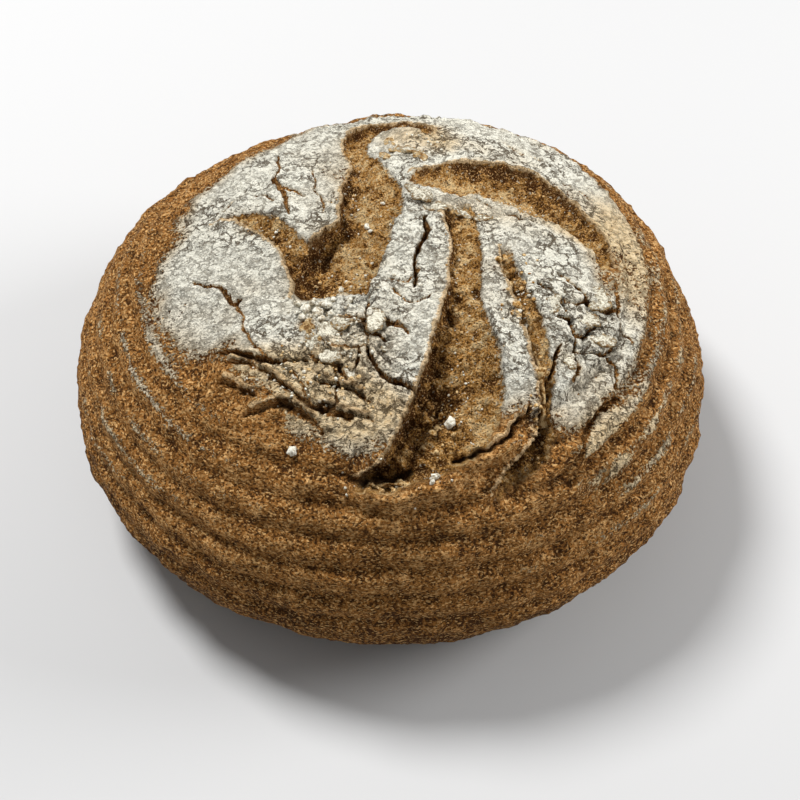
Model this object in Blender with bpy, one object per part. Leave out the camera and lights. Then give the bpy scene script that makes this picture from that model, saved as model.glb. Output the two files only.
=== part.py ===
"""Round sourdough loaf, one solid.

A wide low dome with a flat underside, ringed by the ridges of its proving basket and burst open on
top by five curved tears. Every tear has one steep side whose crust stands up as a thin lip, and a
floor that rises to the other side. Lengths below are millimetres; the finished mesh is in metres.
The camera side of the loaf is -Y, up is +Z, and the origin is the middle of the footprint.
"""
import math

import bmesh
import bpy
import numpy as np
from mathutils import Vector, noise

MM = 0.001

# outer form: plan radius, height of the widest line, rise of the dome above it
LOAF_RADIUS = 120.0
WIDEST_HEIGHT = 34.7
DOME_RISE = 75.5
DOME_POWER = 2.6
BELLY_POWER = 1.72
BASE_RADIUS = 77.5
# slow waves of the plan outline: count round the loaf, share of the radius, turn in degrees
PLAN_WAVES = ((2, 0.013, 10.0), (3, 0.0122, 54.0), (4, 0.0071, -33.0))

# basket ridges: spacing along the crust, first groove, depth, and the arcs where they fade
RING_PITCH = 11.0
RING_START = 107.0
RING_DEPTH = 1.5
RING_FADE_IN = (96.0, 108.0)
RING_FADE_OUT = (150.0, 176.0)
# how far the grooves shift along the crust round the loaf: turn in degrees and shift
RING_SHIFT = ((180, 3.5), (225, 2.5), (270, -0.5), (310, 3.0), (345, 5.0), (450, 6.5), (500, 5.0),
              (540, 3.5))
# share by which a ridge's crest stands above the crust's mean line
RING_CREST = 0.375

# mesh: arc length of the cap that holds the tears, segments round the loaf, loop spacings below it
CAP_ARC = 104.0
SEGMENTS = 64
RING_LOOP_STEP = RING_PITCH / 4.0
RINGED_ARC = 172.0
PLAIN_LOOP_STEP = 7.6
BASE_LOOPS = 3
CAP_FLOOR = -0.5
# edges on the cap: along the tears, over the rings, elsewhere, and the growth away from a tear
FINE_EDGE = 4.6
RING_EDGE = 6.4
COARSE_EDGE = 14.0
EDGE_GROWTH = 0.9
REFINE_PASSES = 8
# a point this share of a fine edge from a tear's line is moved onto it, and longer edges are cut
SNAP_SHARE = 0.3

# tears: side of the steep wall seen along the spine (1 left, -1 right), depth of the floor, height
# of the lip, overhang of the lip, and the spine as (x, y, half width)
TEARS = {
    "main": (-1, 8.5, 2.6, 1.2, ((-9, 76, 2), (-14, 60, 5), (-13.5, 41, 6), (-9.5, 24, 10),
                                  (-11.5, 2, 11), (-21, -14, 14), (-24, -30, 9))),
    "left": (-1, 4.0, 1.8, 0.8, ((-66, 16, 2), (-52, 13, 4), (-41, 3, 5), (-34, -12, 5))),
    "centre": (-1, 8.5, 2.4, 1.2, ((22, 19, 3), (24, 4, 6), (24, -20, 6), (22.5, -36, 9),
                                    (25, -58, 14), (20, -78, 12), (3, -90, 6), (-12, -92, 2))),
    "right": (-1, 5.0, 1.6, 0.8, ((41, -3, 2.5), (42, -20, 3.5), (48, -40, 4), (50, -58, 3.5),
                                   (49, -76, 3), (40, -87, 2.5), (30, -95, 1.5))),
    "back": (1, 7.5, 2.2, 1.0, ((6, 32, 3), (24, 33, 9), (40, 32, 12), (56, 26, 10),
                                 (68, 14, 5), (77, 0, 2.5))),
}
# the steep wall's run, the share of the depth it drops, and the floor from there to the far edge as
# (share of the way, share of the depth)
WALL_RUN = 1.5
FLOOR_PROFILE = ((0.0, 0.75), (0.16, 1.0), (0.4, 0.8), (0.68, 0.5), (0.9, 0.32), (1.0, 0.0))
# how far back the lip's swell reaches, and shares of a tear's length where it opens and closes
LIP_REACH = 6.5
OPENING_SHARE = 0.12
CLOSING_SHARE = 0.9
LEAST_FLOOR = 0.5
LINE_GAP = 0.02

# crust shelf curving round under the centre tear: radius line, height, width, turn it covers
SHELF_ARC_RADIUS = 94.0
SHELF_HEIGHT = 2.2
SHELF_WIDTH = 3.2
SHELF_TURN = (258.0, 294.0)
SHELF_END_TURN = 8.0

# slow unevenness of the crust
BUMP_SIZE = 34.0
BUMP_HEIGHT = 1.3
# arc lengths over which the tears' relief ends, and over which the underside turns plain
TEAR_END = (120.0, 126.0)
PLAIN_UNDERSIDE = (178.0, 208.0)
# floor depths over which ridges and bumps die away inside a tear, and half the span of a slope reading
RELIEF_SINK = (0.3, 2.0)
SLOPE_STEP = 0.5

CRUST_COLOUR = (0.26, 0.135, 0.058, 1.0)
CRUST_ROUGHNESS = 0.75
SHARP_EDGE = math.radians(50.0)


def ramp(value, start, end):
    """Smooth step from 0 at start to 1 at end."""
    t = np.clip((value - start) / (end - start), 0.0, 1.0)
    return t * t * (3.0 - 2.0 * t)


def side_curve():
    """Arc length, radius and height down the loaf's side, from the top to the base's rim."""
    turn = np.linspace(0.0, math.pi / 2.0, 900)
    dome_r = LOAF_RADIUS * np.sin(turn) ** (2.0 / DOME_POWER)
    dome_z = WIDEST_HEIGHT + DOME_RISE * np.cos(turn)
    belly_r = BASE_RADIUS + (LOAF_RADIUS - BASE_RADIUS) * np.cos(turn) ** (2.0 / BELLY_POWER)
    belly_z = WIDEST_HEIGHT * (1.0 - np.sin(turn) ** (2.0 / BELLY_POWER))
    radius = np.concatenate([dome_r, belly_r[1:]])
    height = np.concatenate([dome_z, belly_z[1:]])
    steps = np.hypot(np.diff(radius), np.diff(height))
    return np.concatenate([[0.0], np.cumsum(steps)]), radius, height


ARC, ARC_RADIUS, ARC_HEIGHT = side_curve()
SIDE_LENGTH = float(ARC[-1])
WIDEST_ARC = float(ARC[ARC_RADIUS.argmax()])


def plan_wave(turn):
    """Share by which the outline stands off a circle at a turn round the loaf."""
    share = np.ones_like(turn)
    for count, size, phase in PLAN_WAVES:
        share += size * np.cos(count * (turn - math.radians(phase)))
    return share


def smooth_spine(points, per_span=10):
    """Points of a soft curve through the spine's points, each row x, y, half width."""
    rows = np.array(points, float)
    ends = np.vstack([2 * rows[0] - rows[1], rows, 2 * rows[-1] - rows[-2]])
    out = []
    for i in range(1, len(ends) - 2):
        before, start, end, after = ends[i - 1:i + 3]
        for t in np.linspace(0.0, 1.0, per_span, endpoint=False):
            out.append(0.5 * (2 * start + (end - before) * t
                              + (2 * before - 5 * start + 4 * end - after) * t * t
                              + (3 * start - before - 3 * end + after) * t ** 3))
    out.append(rows[-1])
    return np.array(out)


def across_spine(x, y, spine):
    """Distance across a spine (left is plus), half width there, share along it, and its left side."""
    best = np.full(x.shape, 1e9)
    across, width, along = (np.zeros(x.shape) for _ in range(3))
    left_x, left_y = np.zeros(x.shape), np.zeros(x.shape)
    spans = len(spine) - 1
    for i in range(spans):
        ax, ay, aw = spine[i]
        bx, by, bw = spine[i + 1]
        dx, dy = bx - ax, by - ay
        length = math.hypot(dx, dy)
        t = np.clip(((x - ax) * dx + (y - ay) * dy) / length ** 2, 0.0, 1.0)
        off_x, off_y = x - ax - t * dx, y - ay - t * dy
        away = np.hypot(off_x, off_y)
        nearer = away < best
        side = np.where(dx * off_y - dy * off_x >= 0.0, 1.0, -1.0)
        best = np.where(nearer, away, best)
        across = np.where(nearer, side * away, across)
        width = np.where(nearer, aw + t * (bw - aw), width)
        along = np.where(nearer, (i + t) / spans, along)
        left_x = np.where(nearer, -dy / length, left_x)
        left_y = np.where(nearer, dx / length, left_y)
    return across, width, along, left_x, left_y


SPINES = {name: smooth_spine(tear[4]) for name, tear in TEARS.items()}


def tear_place(x, y, name):
    """Plan points seen from one tear: distance in from its lip, width, share along, left side."""
    across, half, along, left_x, left_y = across_spine(x, y, SPINES[name])
    return half - TEARS[name][0] * across, 2.0 * half, along, left_x, left_y


def tear_relief(x, y):
    """Height change and sideways pull that the tears give the crust at plan points."""
    floor, lip, inside = np.zeros(x.shape), np.zeros(x.shape), np.zeros(x.shape)
    pull_x, pull_y = np.zeros(x.shape), np.zeros(x.shape)
    shares, depths = np.array(FLOOR_PROFILE).T
    for name, (steep, depth, lip_height, overhang, _) in TEARS.items():
        past_lip, width, along, left_x, left_y = tear_place(x, y, name)
        fade = ramp(along, 0.0, OPENING_SHARE) * (1.0 - ramp(along, CLOSING_SHARE, 1.0))
        wall = np.clip(past_lip / WALL_RUN, 0.0, 1.0) * depths[0]
        share = (past_lip - WALL_RUN) / np.maximum(width - WALL_RUN, LEAST_FLOOR)
        drop = np.where(share > 0.0, np.interp(share, shares, depths, right=0.0), wall)
        floor = np.minimum(floor, -depth * fade * drop)
        inside = np.maximum(inside, fade * ramp(drop, 0.0, depths[0]))
        outside = np.maximum(-past_lip, 0.0)
        at_lip = fade * np.exp(-outside / LIP_REACH) * (past_lip < LINE_GAP)
        lip = lip + lip_height * at_lip
        reach = overhang * at_lip * np.exp(-outside / LIP_REACH)
        pull_x -= steep * left_x * reach
        pull_y -= steep * left_y * reach
    return floor + lip * (1.0 - inside), pull_x, pull_y


def edge_target(x, y):
    """Edge length wanted at a plan point: fine along the steep walls, coarse between the tears."""
    radius = np.hypot(x, y)
    target = COARSE_EDGE + (RING_EDGE - COARSE_EDGE) * ramp(radius, 82.0, 90.0)
    for name in TEARS:
        past_lip, width, _, _, _ = tear_place(x, y, name)
        gap = np.minimum(np.abs(past_lip - WALL_RUN / 2.0), np.abs(past_lip - width))
        target = np.minimum(target, FINE_EDGE + EDGE_GROWTH * gap)
    return target


def loop_arcs():
    """Arc length of every loop from the cap's edge to the base's rim, then the base's radii."""
    ringed = list(np.arange(CAP_ARC, RINGED_ARC, RING_LOOP_STEP))
    plain_count = int(round((SIDE_LENGTH - ringed[-1]) / PLAIN_LOOP_STEP))
    plain = list(np.linspace(ringed[-1], SIDE_LENGTH, plain_count + 1)[1:])
    base = [SIDE_LENGTH + BASE_RADIUS * (i + 1.0) / (BASE_LOOPS + 1.0) for i in range(BASE_LOOPS)]
    return ringed + plain + base


def cap_faces(mesh):
    """Faces of the flat blank that make up its cap."""
    return [face for face in mesh.faces if all(vert.co.z > CAP_FLOOR for vert in face.verts)]


def inner_edges(faces):
    """Edges lying between two of the faces."""
    count = {}
    for face in faces:
        for edge in face.edges:
            count[edge] = count.get(edge, 0) + 1
    return [edge for edge, uses in count.items() if uses == 2]


def refine_cap(mesh):
    """Halve the cap's long edges until each is as short as its place asks for."""
    for _ in range(REFINE_PASSES):
        edges = inner_edges(cap_faces(mesh))
        ends = np.array([[edge.verts[0].co[:2], edge.verts[1].co[:2]] for edge in edges])
        middles = ends.mean(axis=1)
        lengths = np.linalg.norm(ends[:, 1] - ends[:, 0], axis=1)
        too_long = lengths > edge_target(middles[:, 0], middles[:, 1])
        if not too_long.any():
            break
        chosen = [edge for edge, is_long in zip(edges, too_long) if is_long]
        bmesh.ops.subdivide_edges(mesh, edges=chosen, cuts=1)
        bmesh.ops.triangulate(mesh, faces=cap_faces(mesh))
        faces = cap_faces(mesh)
        bmesh.ops.beautify_fill(mesh, faces=faces, edges=inner_edges(faces))


def cut_along(mesh, name, level):
    """Give the cap a line of edges where the distance in from a tear's lip is the level."""
    verts = [vert for vert in mesh.verts if vert.co.z > CAP_FLOOR]
    flat = np.array([vert.co[:2] for vert in verts])
    past_lip, _, along, left_x, left_y = tear_place(flat[:, 0], flat[:, 1], name)
    gap = past_lip - level
    steep = TEARS[name][0]
    within = (along > 0.0) & (along < 1.0)
    gaps = {}
    for vert, off, side_x, side_y, is_within in zip(verts, gap, left_x, left_y, within):
        if is_within and abs(off) < SNAP_SHARE * FINE_EDGE:
            vert.co.x += steep * side_x * off
            vert.co.y += steep * side_y * off
            off = 0.0
        gaps[vert] = off if is_within else None
    shares = {}
    for edge in inner_edges(cap_faces(mesh)):
        first, last = (gaps[vert] for vert in edge.verts)
        if first is None or last is None or first * last >= 0.0:
            continue
        if abs(first) + abs(last) < 1.5 * edge.calc_length():
            shares[edge] = abs(first) / (abs(first) + abs(last))
    bmesh.ops.subdivide_edges(mesh, edges=list(shares), cuts=1, edge_percents=shares)
    bmesh.ops.triangulate(mesh, faces=cap_faces(mesh))


def flat_blank():
    """Closed blank: a sphere whose rows become the loaf's loops and whose cap is filled afresh.

    The cap lies flat at height 0 and each lower loop one step further down, so plan places stay
    readable until the form is given.
    """
    arcs = loop_arcs()
    rows = len(arcs) + 1
    mesh = bmesh.new()
    bmesh.ops.create_uvsphere(mesh, u_segments=SEGMENTS, v_segments=rows, radius=1.0)
    arc_layer = mesh.verts.layers.float.new("arc")
    turn_layer = mesh.verts.layers.float.new("turn")
    top = max(mesh.verts, key=lambda vert: vert.co.z)
    for vert in mesh.verts:
        if vert is top:
            continue
        row = int(round(math.acos(max(-1.0, vert.co.z)) / math.pi * rows))
        is_pole = row == rows
        vert[turn_layer] = 0.0 if is_pole else math.atan2(vert.co.y, vert.co.x)
        vert[arc_layer] = SIDE_LENGTH + BASE_RADIUS if is_pole else arcs[row - 1]
        reach = float(np.interp(vert[arc_layer], ARC, ARC_RADIUS))
        turn = vert[turn_layer]
        vert.co = Vector((reach * math.cos(turn), reach * math.sin(turn), 1.0 - row))
    rim = [edge for face in top.link_faces for edge in face.edges if top not in edge.verts]
    bmesh.ops.delete(mesh, geom=[top], context="VERTS")
    bmesh.ops.contextual_create(mesh, geom=rim)
    bmesh.ops.triangulate(mesh, faces=cap_faces(mesh))
    refine_cap(mesh)
    for name in TEARS:
        cut_along(mesh, name, 0.0)
        cut_along(mesh, name, WALL_RUN)
    return mesh, arc_layer, turn_layer


def ring_relief(arc, turn):
    """Height of the basket's ridges at an arc length and a turn round the loaf."""
    turns, shifts = np.array(RING_SHIFT, float).T
    degrees = (np.degrees(turn) - turns[0]) % 360.0 + turns[0]
    phase = (arc - RING_START - np.interp(degrees, turns, shifts)) / RING_PITCH
    groove = (0.5 + 0.5 * np.cos(2.0 * math.pi * phase)) ** 2
    strength = ramp(arc, *RING_FADE_IN) * (1.0 - ramp(arc, *RING_FADE_OUT))
    return RING_DEPTH * strength * (RING_CREST - groove)


def shelf_relief(x, y):
    """Height of the crust shelf that curves round below the centre tear."""
    turn = np.degrees(np.arctan2(y, x)) % 360.0
    start, end = SHELF_TURN
    along = ramp(turn, start, start + SHELF_END_TURN) * (1.0 - ramp(turn, end - SHELF_END_TURN, end))
    return SHELF_HEIGHT * along * np.exp(-((np.hypot(x, y) - SHELF_ARC_RADIUS) / SHELF_WIDTH) ** 2)


def shaped_points(flat, arc, turn):
    """Places of the crust's points, in millimetres, from their places on the flat blank."""
    on_cap = flat[:, 2] > CAP_FLOOR
    turn = np.where(on_cap, np.arctan2(flat[:, 1], flat[:, 0]), turn)
    top_rows = ARC <= WIDEST_ARC
    cap_arc = np.interp(np.hypot(flat[:, 0], flat[:, 1]), ARC_RADIUS[top_rows], ARC[top_rows])
    arc = np.where(on_cap, cap_arc, arc)
    base_share = np.clip((arc - SIDE_LENGTH) / BASE_RADIUS, 0.0, 1.0)
    radius = np.interp(arc, ARC, ARC_RADIUS) * (1.0 - base_share)
    height = np.interp(arc, ARC, ARC_HEIGHT)
    wave = plan_wave(turn)
    x, y = radius * wave * np.cos(turn), radius * wave * np.sin(turn)
    # slope of the crust, from the side curve a little before and after
    ends = (arc - SLOPE_STEP, arc + SLOPE_STEP)
    rise = np.interp(ends[1], ARC, ARC_HEIGHT) - np.interp(ends[0], ARC, ARC_HEIGHT)
    run = np.interp(ends[1], ARC, ARC_RADIUS) - np.interp(ends[0], ARC, ARC_RADIUS)
    size = np.maximum(np.hypot(rise, run), 1e-6)
    out_share, up_share = -rise / size, run / size
    above = 1.0 - ramp(arc, *PLAIN_UNDERSIDE)
    tear, pull_x, pull_y = tear_relief(x, y)
    on_top = 1.0 - ramp(arc, *TEAR_END)
    bumps = np.array([noise.noise(Vector(spot) / BUMP_SIZE) for spot in zip(x, y, height)])
    relief = above * (ring_relief(arc, turn) + BUMP_HEIGHT * bumps) + on_top * shelf_relief(x, y)
    relief = relief * (1.0 - ramp(-tear, *RELIEF_SINK)) + on_top * tear
    x = x + relief * out_share * np.cos(turn) + on_top * pull_x
    y = y + relief * out_share * np.sin(turn) + on_top * pull_y
    return np.stack([x, y, height + relief * up_share], axis=1)


def clear_scene():
    """Take away whatever objects the file holds."""
    for item in list(bpy.data.objects):
        bpy.data.objects.remove(item, do_unlink=True)


def crust_material():
    """Browned crust."""
    material = bpy.data.materials.new("crust")
    material.use_nodes = True
    shader = material.node_tree.nodes["Principled BSDF"]
    shader.inputs["Base Color"].default_value = CRUST_COLOUR
    shader.inputs["Roughness"].default_value = CRUST_ROUGHNESS
    shader.inputs["Metallic"].default_value = 0.0
    return material


def build_loaf():
    """The loaf as one closed body standing on the ground, centred on the origin."""
    mesh, arc_layer, turn_layer = flat_blank()
    verts = list(mesh.verts)
    flat = np.array([vert.co[:] for vert in verts])
    arc = np.array([vert[arc_layer] for vert in verts])
    turn = np.array([vert[turn_layer] for vert in verts])
    points = shaped_points(flat, arc, turn)
    middle = (points.min(axis=0) + points.max(axis=0)) / 2.0
    points -= (middle[0], middle[1], points[:, 2].min())
    for vert, point in zip(verts, points * MM):
        vert.co = point
    bmesh.ops.triangulate(mesh, faces=mesh.faces[:])
    bmesh.ops.recalc_face_normals(mesh, faces=mesh.faces[:])
    data = bpy.data.meshes.new("loaf")
    mesh.to_mesh(data)
    mesh.free()
    loaf = bpy.data.objects.new("loaf", data)
    data.materials.append(crust_material())
    data.shade_smooth()
    data.set_sharp_from_angle(angle=SHARP_EDGE)
    return loaf


clear_scene()
group = bpy.data.collections.new("sourdough_loaf")
bpy.context.scene.collection.children.link(group)
group.objects.link(build_loaf())
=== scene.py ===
"""Dressed model of a round sourdough loaf: burst, floured crust over the plain solid.

The crust is one closed mesh. Its relief is worked out in the plan of the loaf in millimetres (x to
the right, y away from the camera): basket ridges, five tears with raised lips, cracks, steps of the
layered coat and small loose plates. The same sums leave the flour and other per-point values that the
crust's material reads. Loose lumps, flakes and strands of dough are then set on the finished crust.
"""
import math
import random

import bmesh
import bpy
import numpy as np
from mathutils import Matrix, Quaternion, Vector, noise
from mathutils.bvhtree import BVHTree


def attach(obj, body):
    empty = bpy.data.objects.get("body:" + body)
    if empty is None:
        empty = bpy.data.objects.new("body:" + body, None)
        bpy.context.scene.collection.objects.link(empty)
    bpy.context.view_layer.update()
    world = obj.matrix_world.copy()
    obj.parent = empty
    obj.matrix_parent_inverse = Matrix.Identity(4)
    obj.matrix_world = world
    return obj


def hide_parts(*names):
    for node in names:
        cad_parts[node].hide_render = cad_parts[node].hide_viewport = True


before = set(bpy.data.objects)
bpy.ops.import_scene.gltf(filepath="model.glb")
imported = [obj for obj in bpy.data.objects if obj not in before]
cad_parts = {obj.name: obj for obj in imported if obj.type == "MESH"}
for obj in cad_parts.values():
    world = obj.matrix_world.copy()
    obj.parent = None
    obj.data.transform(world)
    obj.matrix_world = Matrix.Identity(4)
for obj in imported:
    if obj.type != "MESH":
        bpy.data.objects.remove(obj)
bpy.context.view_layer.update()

MM = 0.001

# outer form of the loaf, as in the solid
LOAF_RADIUS = 120.0
WIDEST_HEIGHT = 34.7
DOME_RISE = 75.5
DOME_POWER = 2.6
BELLY_POWER = 1.72
BASE_RADIUS = 77.5
PLAN_WAVES = ((2, 0.013, 10.0), (3, 0.0122, 54.0), (4, 0.0071, -33.0))
# place of the round form's axis in the plan of the tears, and in the finished part
PLAN_AXIS = (-1.2, 0.1)
PART_AXIS = (1.38, 0.49)

# basket ridges
RING_PITCH = 11.0
RING_START = 107.0
RING_DEPTH = 1.7
RING_FADE_IN = (84.0, 103.0)
RING_FADE_OUT = (142.0, 174.0)
RING_LEVEL = 0.375
# the ridges reach further up the loaf at one turn of its side
RING_INWARD = 16.0
RING_INWARD_TURN = 325.0
RING_INWARD_REACH = 28.0
RING_DRIFT = 1.2
RING_DRIFT_WAVES = (26.0, 1.5)
RING_SHIFT = (
    (180, 3.5), (225, 2.5), (270, -0.5), (310, 3.0), (345, 5.0), (450, 6.5), (500, 5.0), (540, 3.5),
)

# stretches down the side, as arc lengths from the top, over which the top's relief and the bumps end
TOP_END = (122.0, 130.0)
BUMPS_END = (186.0, 212.0)
# noise on the crust: size of its features and shift
SLOW_WAVES = (34.0, 0.0)
SWELLS = (17.0, 6.0)
LUMPS = (9.0, 4.0)
PIMPLES = (3.2, 9.0)
GRAINS = (1.5, 2.0)
# waves by which tears and cracks leave their drawn lines: length, seed and size
WANDER = ((9.0, 3.1, 1.4), (2.6, 7.7, 0.85))

# mesh of the crust
CAP_ARC = 104.0
SEGMENTS = 384
RING_LOOP_STEP = 1.6
RINGED_ARC = 172.0
PLAIN_LOOP_STEP = 3.2
BASE_LOOPS = 6
CAP_FLOOR = -0.5
REFINE_PASSES = 11
# edge lengths of the cap at lips, at cracks, in tears and elsewhere, and their growth with distance
LIP_EDGE = 0.9
CRACK_EDGE = 1.05
TORN_EDGE = 1.2
OPEN_EDGE = 1.72
EDGE_GROWTH = 0.36
CRACK_EDGE_REACH = 5.0
STEP_EDGE_REACH = 3.0

# cracks and steps: share of the drawn width, banks, and how far from a line its relief is worked out
CRACK_WIDTH = 0.55
CRACK_REACH = 9.0
BANK_REACH = 3.6
BANK_SHARE = 0.65
GAP_LIMIT = 3.0
RIDGE_REACH = 12.0
# a ridge whose outer bank is shorter than this is a step
STEP_REACH = 1.0
FAR = 99.0

# tears: steep side along the spine (1 left, -1 right), depth, lip height, lip overhang, lip swell's
# reach, the steep wall's run, and the spine as (x, y, half width, share of the depth)
TEARS = {
    "main": (-1, 9.0, 2.0, 1.4, 6.0, 1.6, (
        (14, 60, 1.5, 0.1), (11, 69, 3, 0.25), (1, 74, 4, 0.35), (-9, 70, 5, 0.4), (-14.5, 62, 5.5, 0.4),
        (-15, 52, 5, 0.35), (-12, 43, 5.5, 0.35), (-9.5, 34, 9, 0.35), (-8.5, 24, 11.5, 0.4),
        (-9, 13, 11.5, 0.5), (-12, 1, 11, 0.7), (-17.5, -9, 14, 1.0), (-22, -20, 14.5, 1.0),
        (-23.5, -31, 12, 0.9))),
    "left": (-1, 4.2, 1.8, 1.2, 7.0, 1.3, (
        (-68, 15, 1.5, 0.6), (-60, 14.5, 3, 0.8), (-51, 11.5, 4.5, 0.9), (-42.5, 5, 5.5, 1.0),
        (-36.5, -4, 5.5, 1.2), (-33.5, -14, 5, 1.5), (-32, -26, 4, 1.6))),
    "centre": (-1, 9.0, 2.0, 1.4, 6.0, 1.6, (
        (20, 22, 3, 0.2), (23, 12, 6, 0.25), (25, 0, 6, 0.3), (24.5, -14, 6, 0.4), (24, -26, 6.5, 0.5),
        (23.5, -36, 9, 0.6), (24, -50, 12.5, 0.75), (23, -62, 14.5, 1.0), (17, -73, 14.5, 1.05),
        (8, -82, 10, 1.05), (0, -88.5, 5.5, 0.95), (-9, -91.5, 3.5, 0.9), (-16, -91, 1.5, 0.6))),
    "right": (-1, 5.0, 1.0, 0.8, 4.5, 1.3, (
        (40, 0, 2.2, 0.9), (40.5, -11, 3.2, 1.0), (43, -20, 3.6, 1.0), (46, -29, 4.2, 1.0),
        (48.5, -40, 4.2, 0.9), (50.5, -52, 3.8, 0.9), (51, -64, 3, 1.0), (50, -74, 3.4, 1.2),
        (45, -82, 3.2, 1.1), (39, -88, 2.6, 1.0), (30, -95, 1.2, 0.6))),
    "back": (1, 6.5, 1.0, 0.3, 6.0, 6.0, (
        (3, 31, 3.5, 0.2), (14, 31, 7, 0.5), (24, 31.5, 10.5, 0.8), (34, 31, 13, 1.0), (43, 29.5, 13, 1.0),
        (51, 26.5, 12, 1.0), (59, 22, 9, 0.9), (66, 16.5, 6.5, 0.8), (71, 9, 4.5, 0.8), (75.5, 1, 3, 0.8),
        (79, -6, 1.6, 0.6))),
}
FLOOR_PROFILE = ((0.0, 0.78), (0.12, 1.0), (0.3, 0.86), (0.5, 0.66), (0.7, 0.5), (0.88, 0.36), (0.96, 0.22),
                 (1.0, 0.0))

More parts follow.
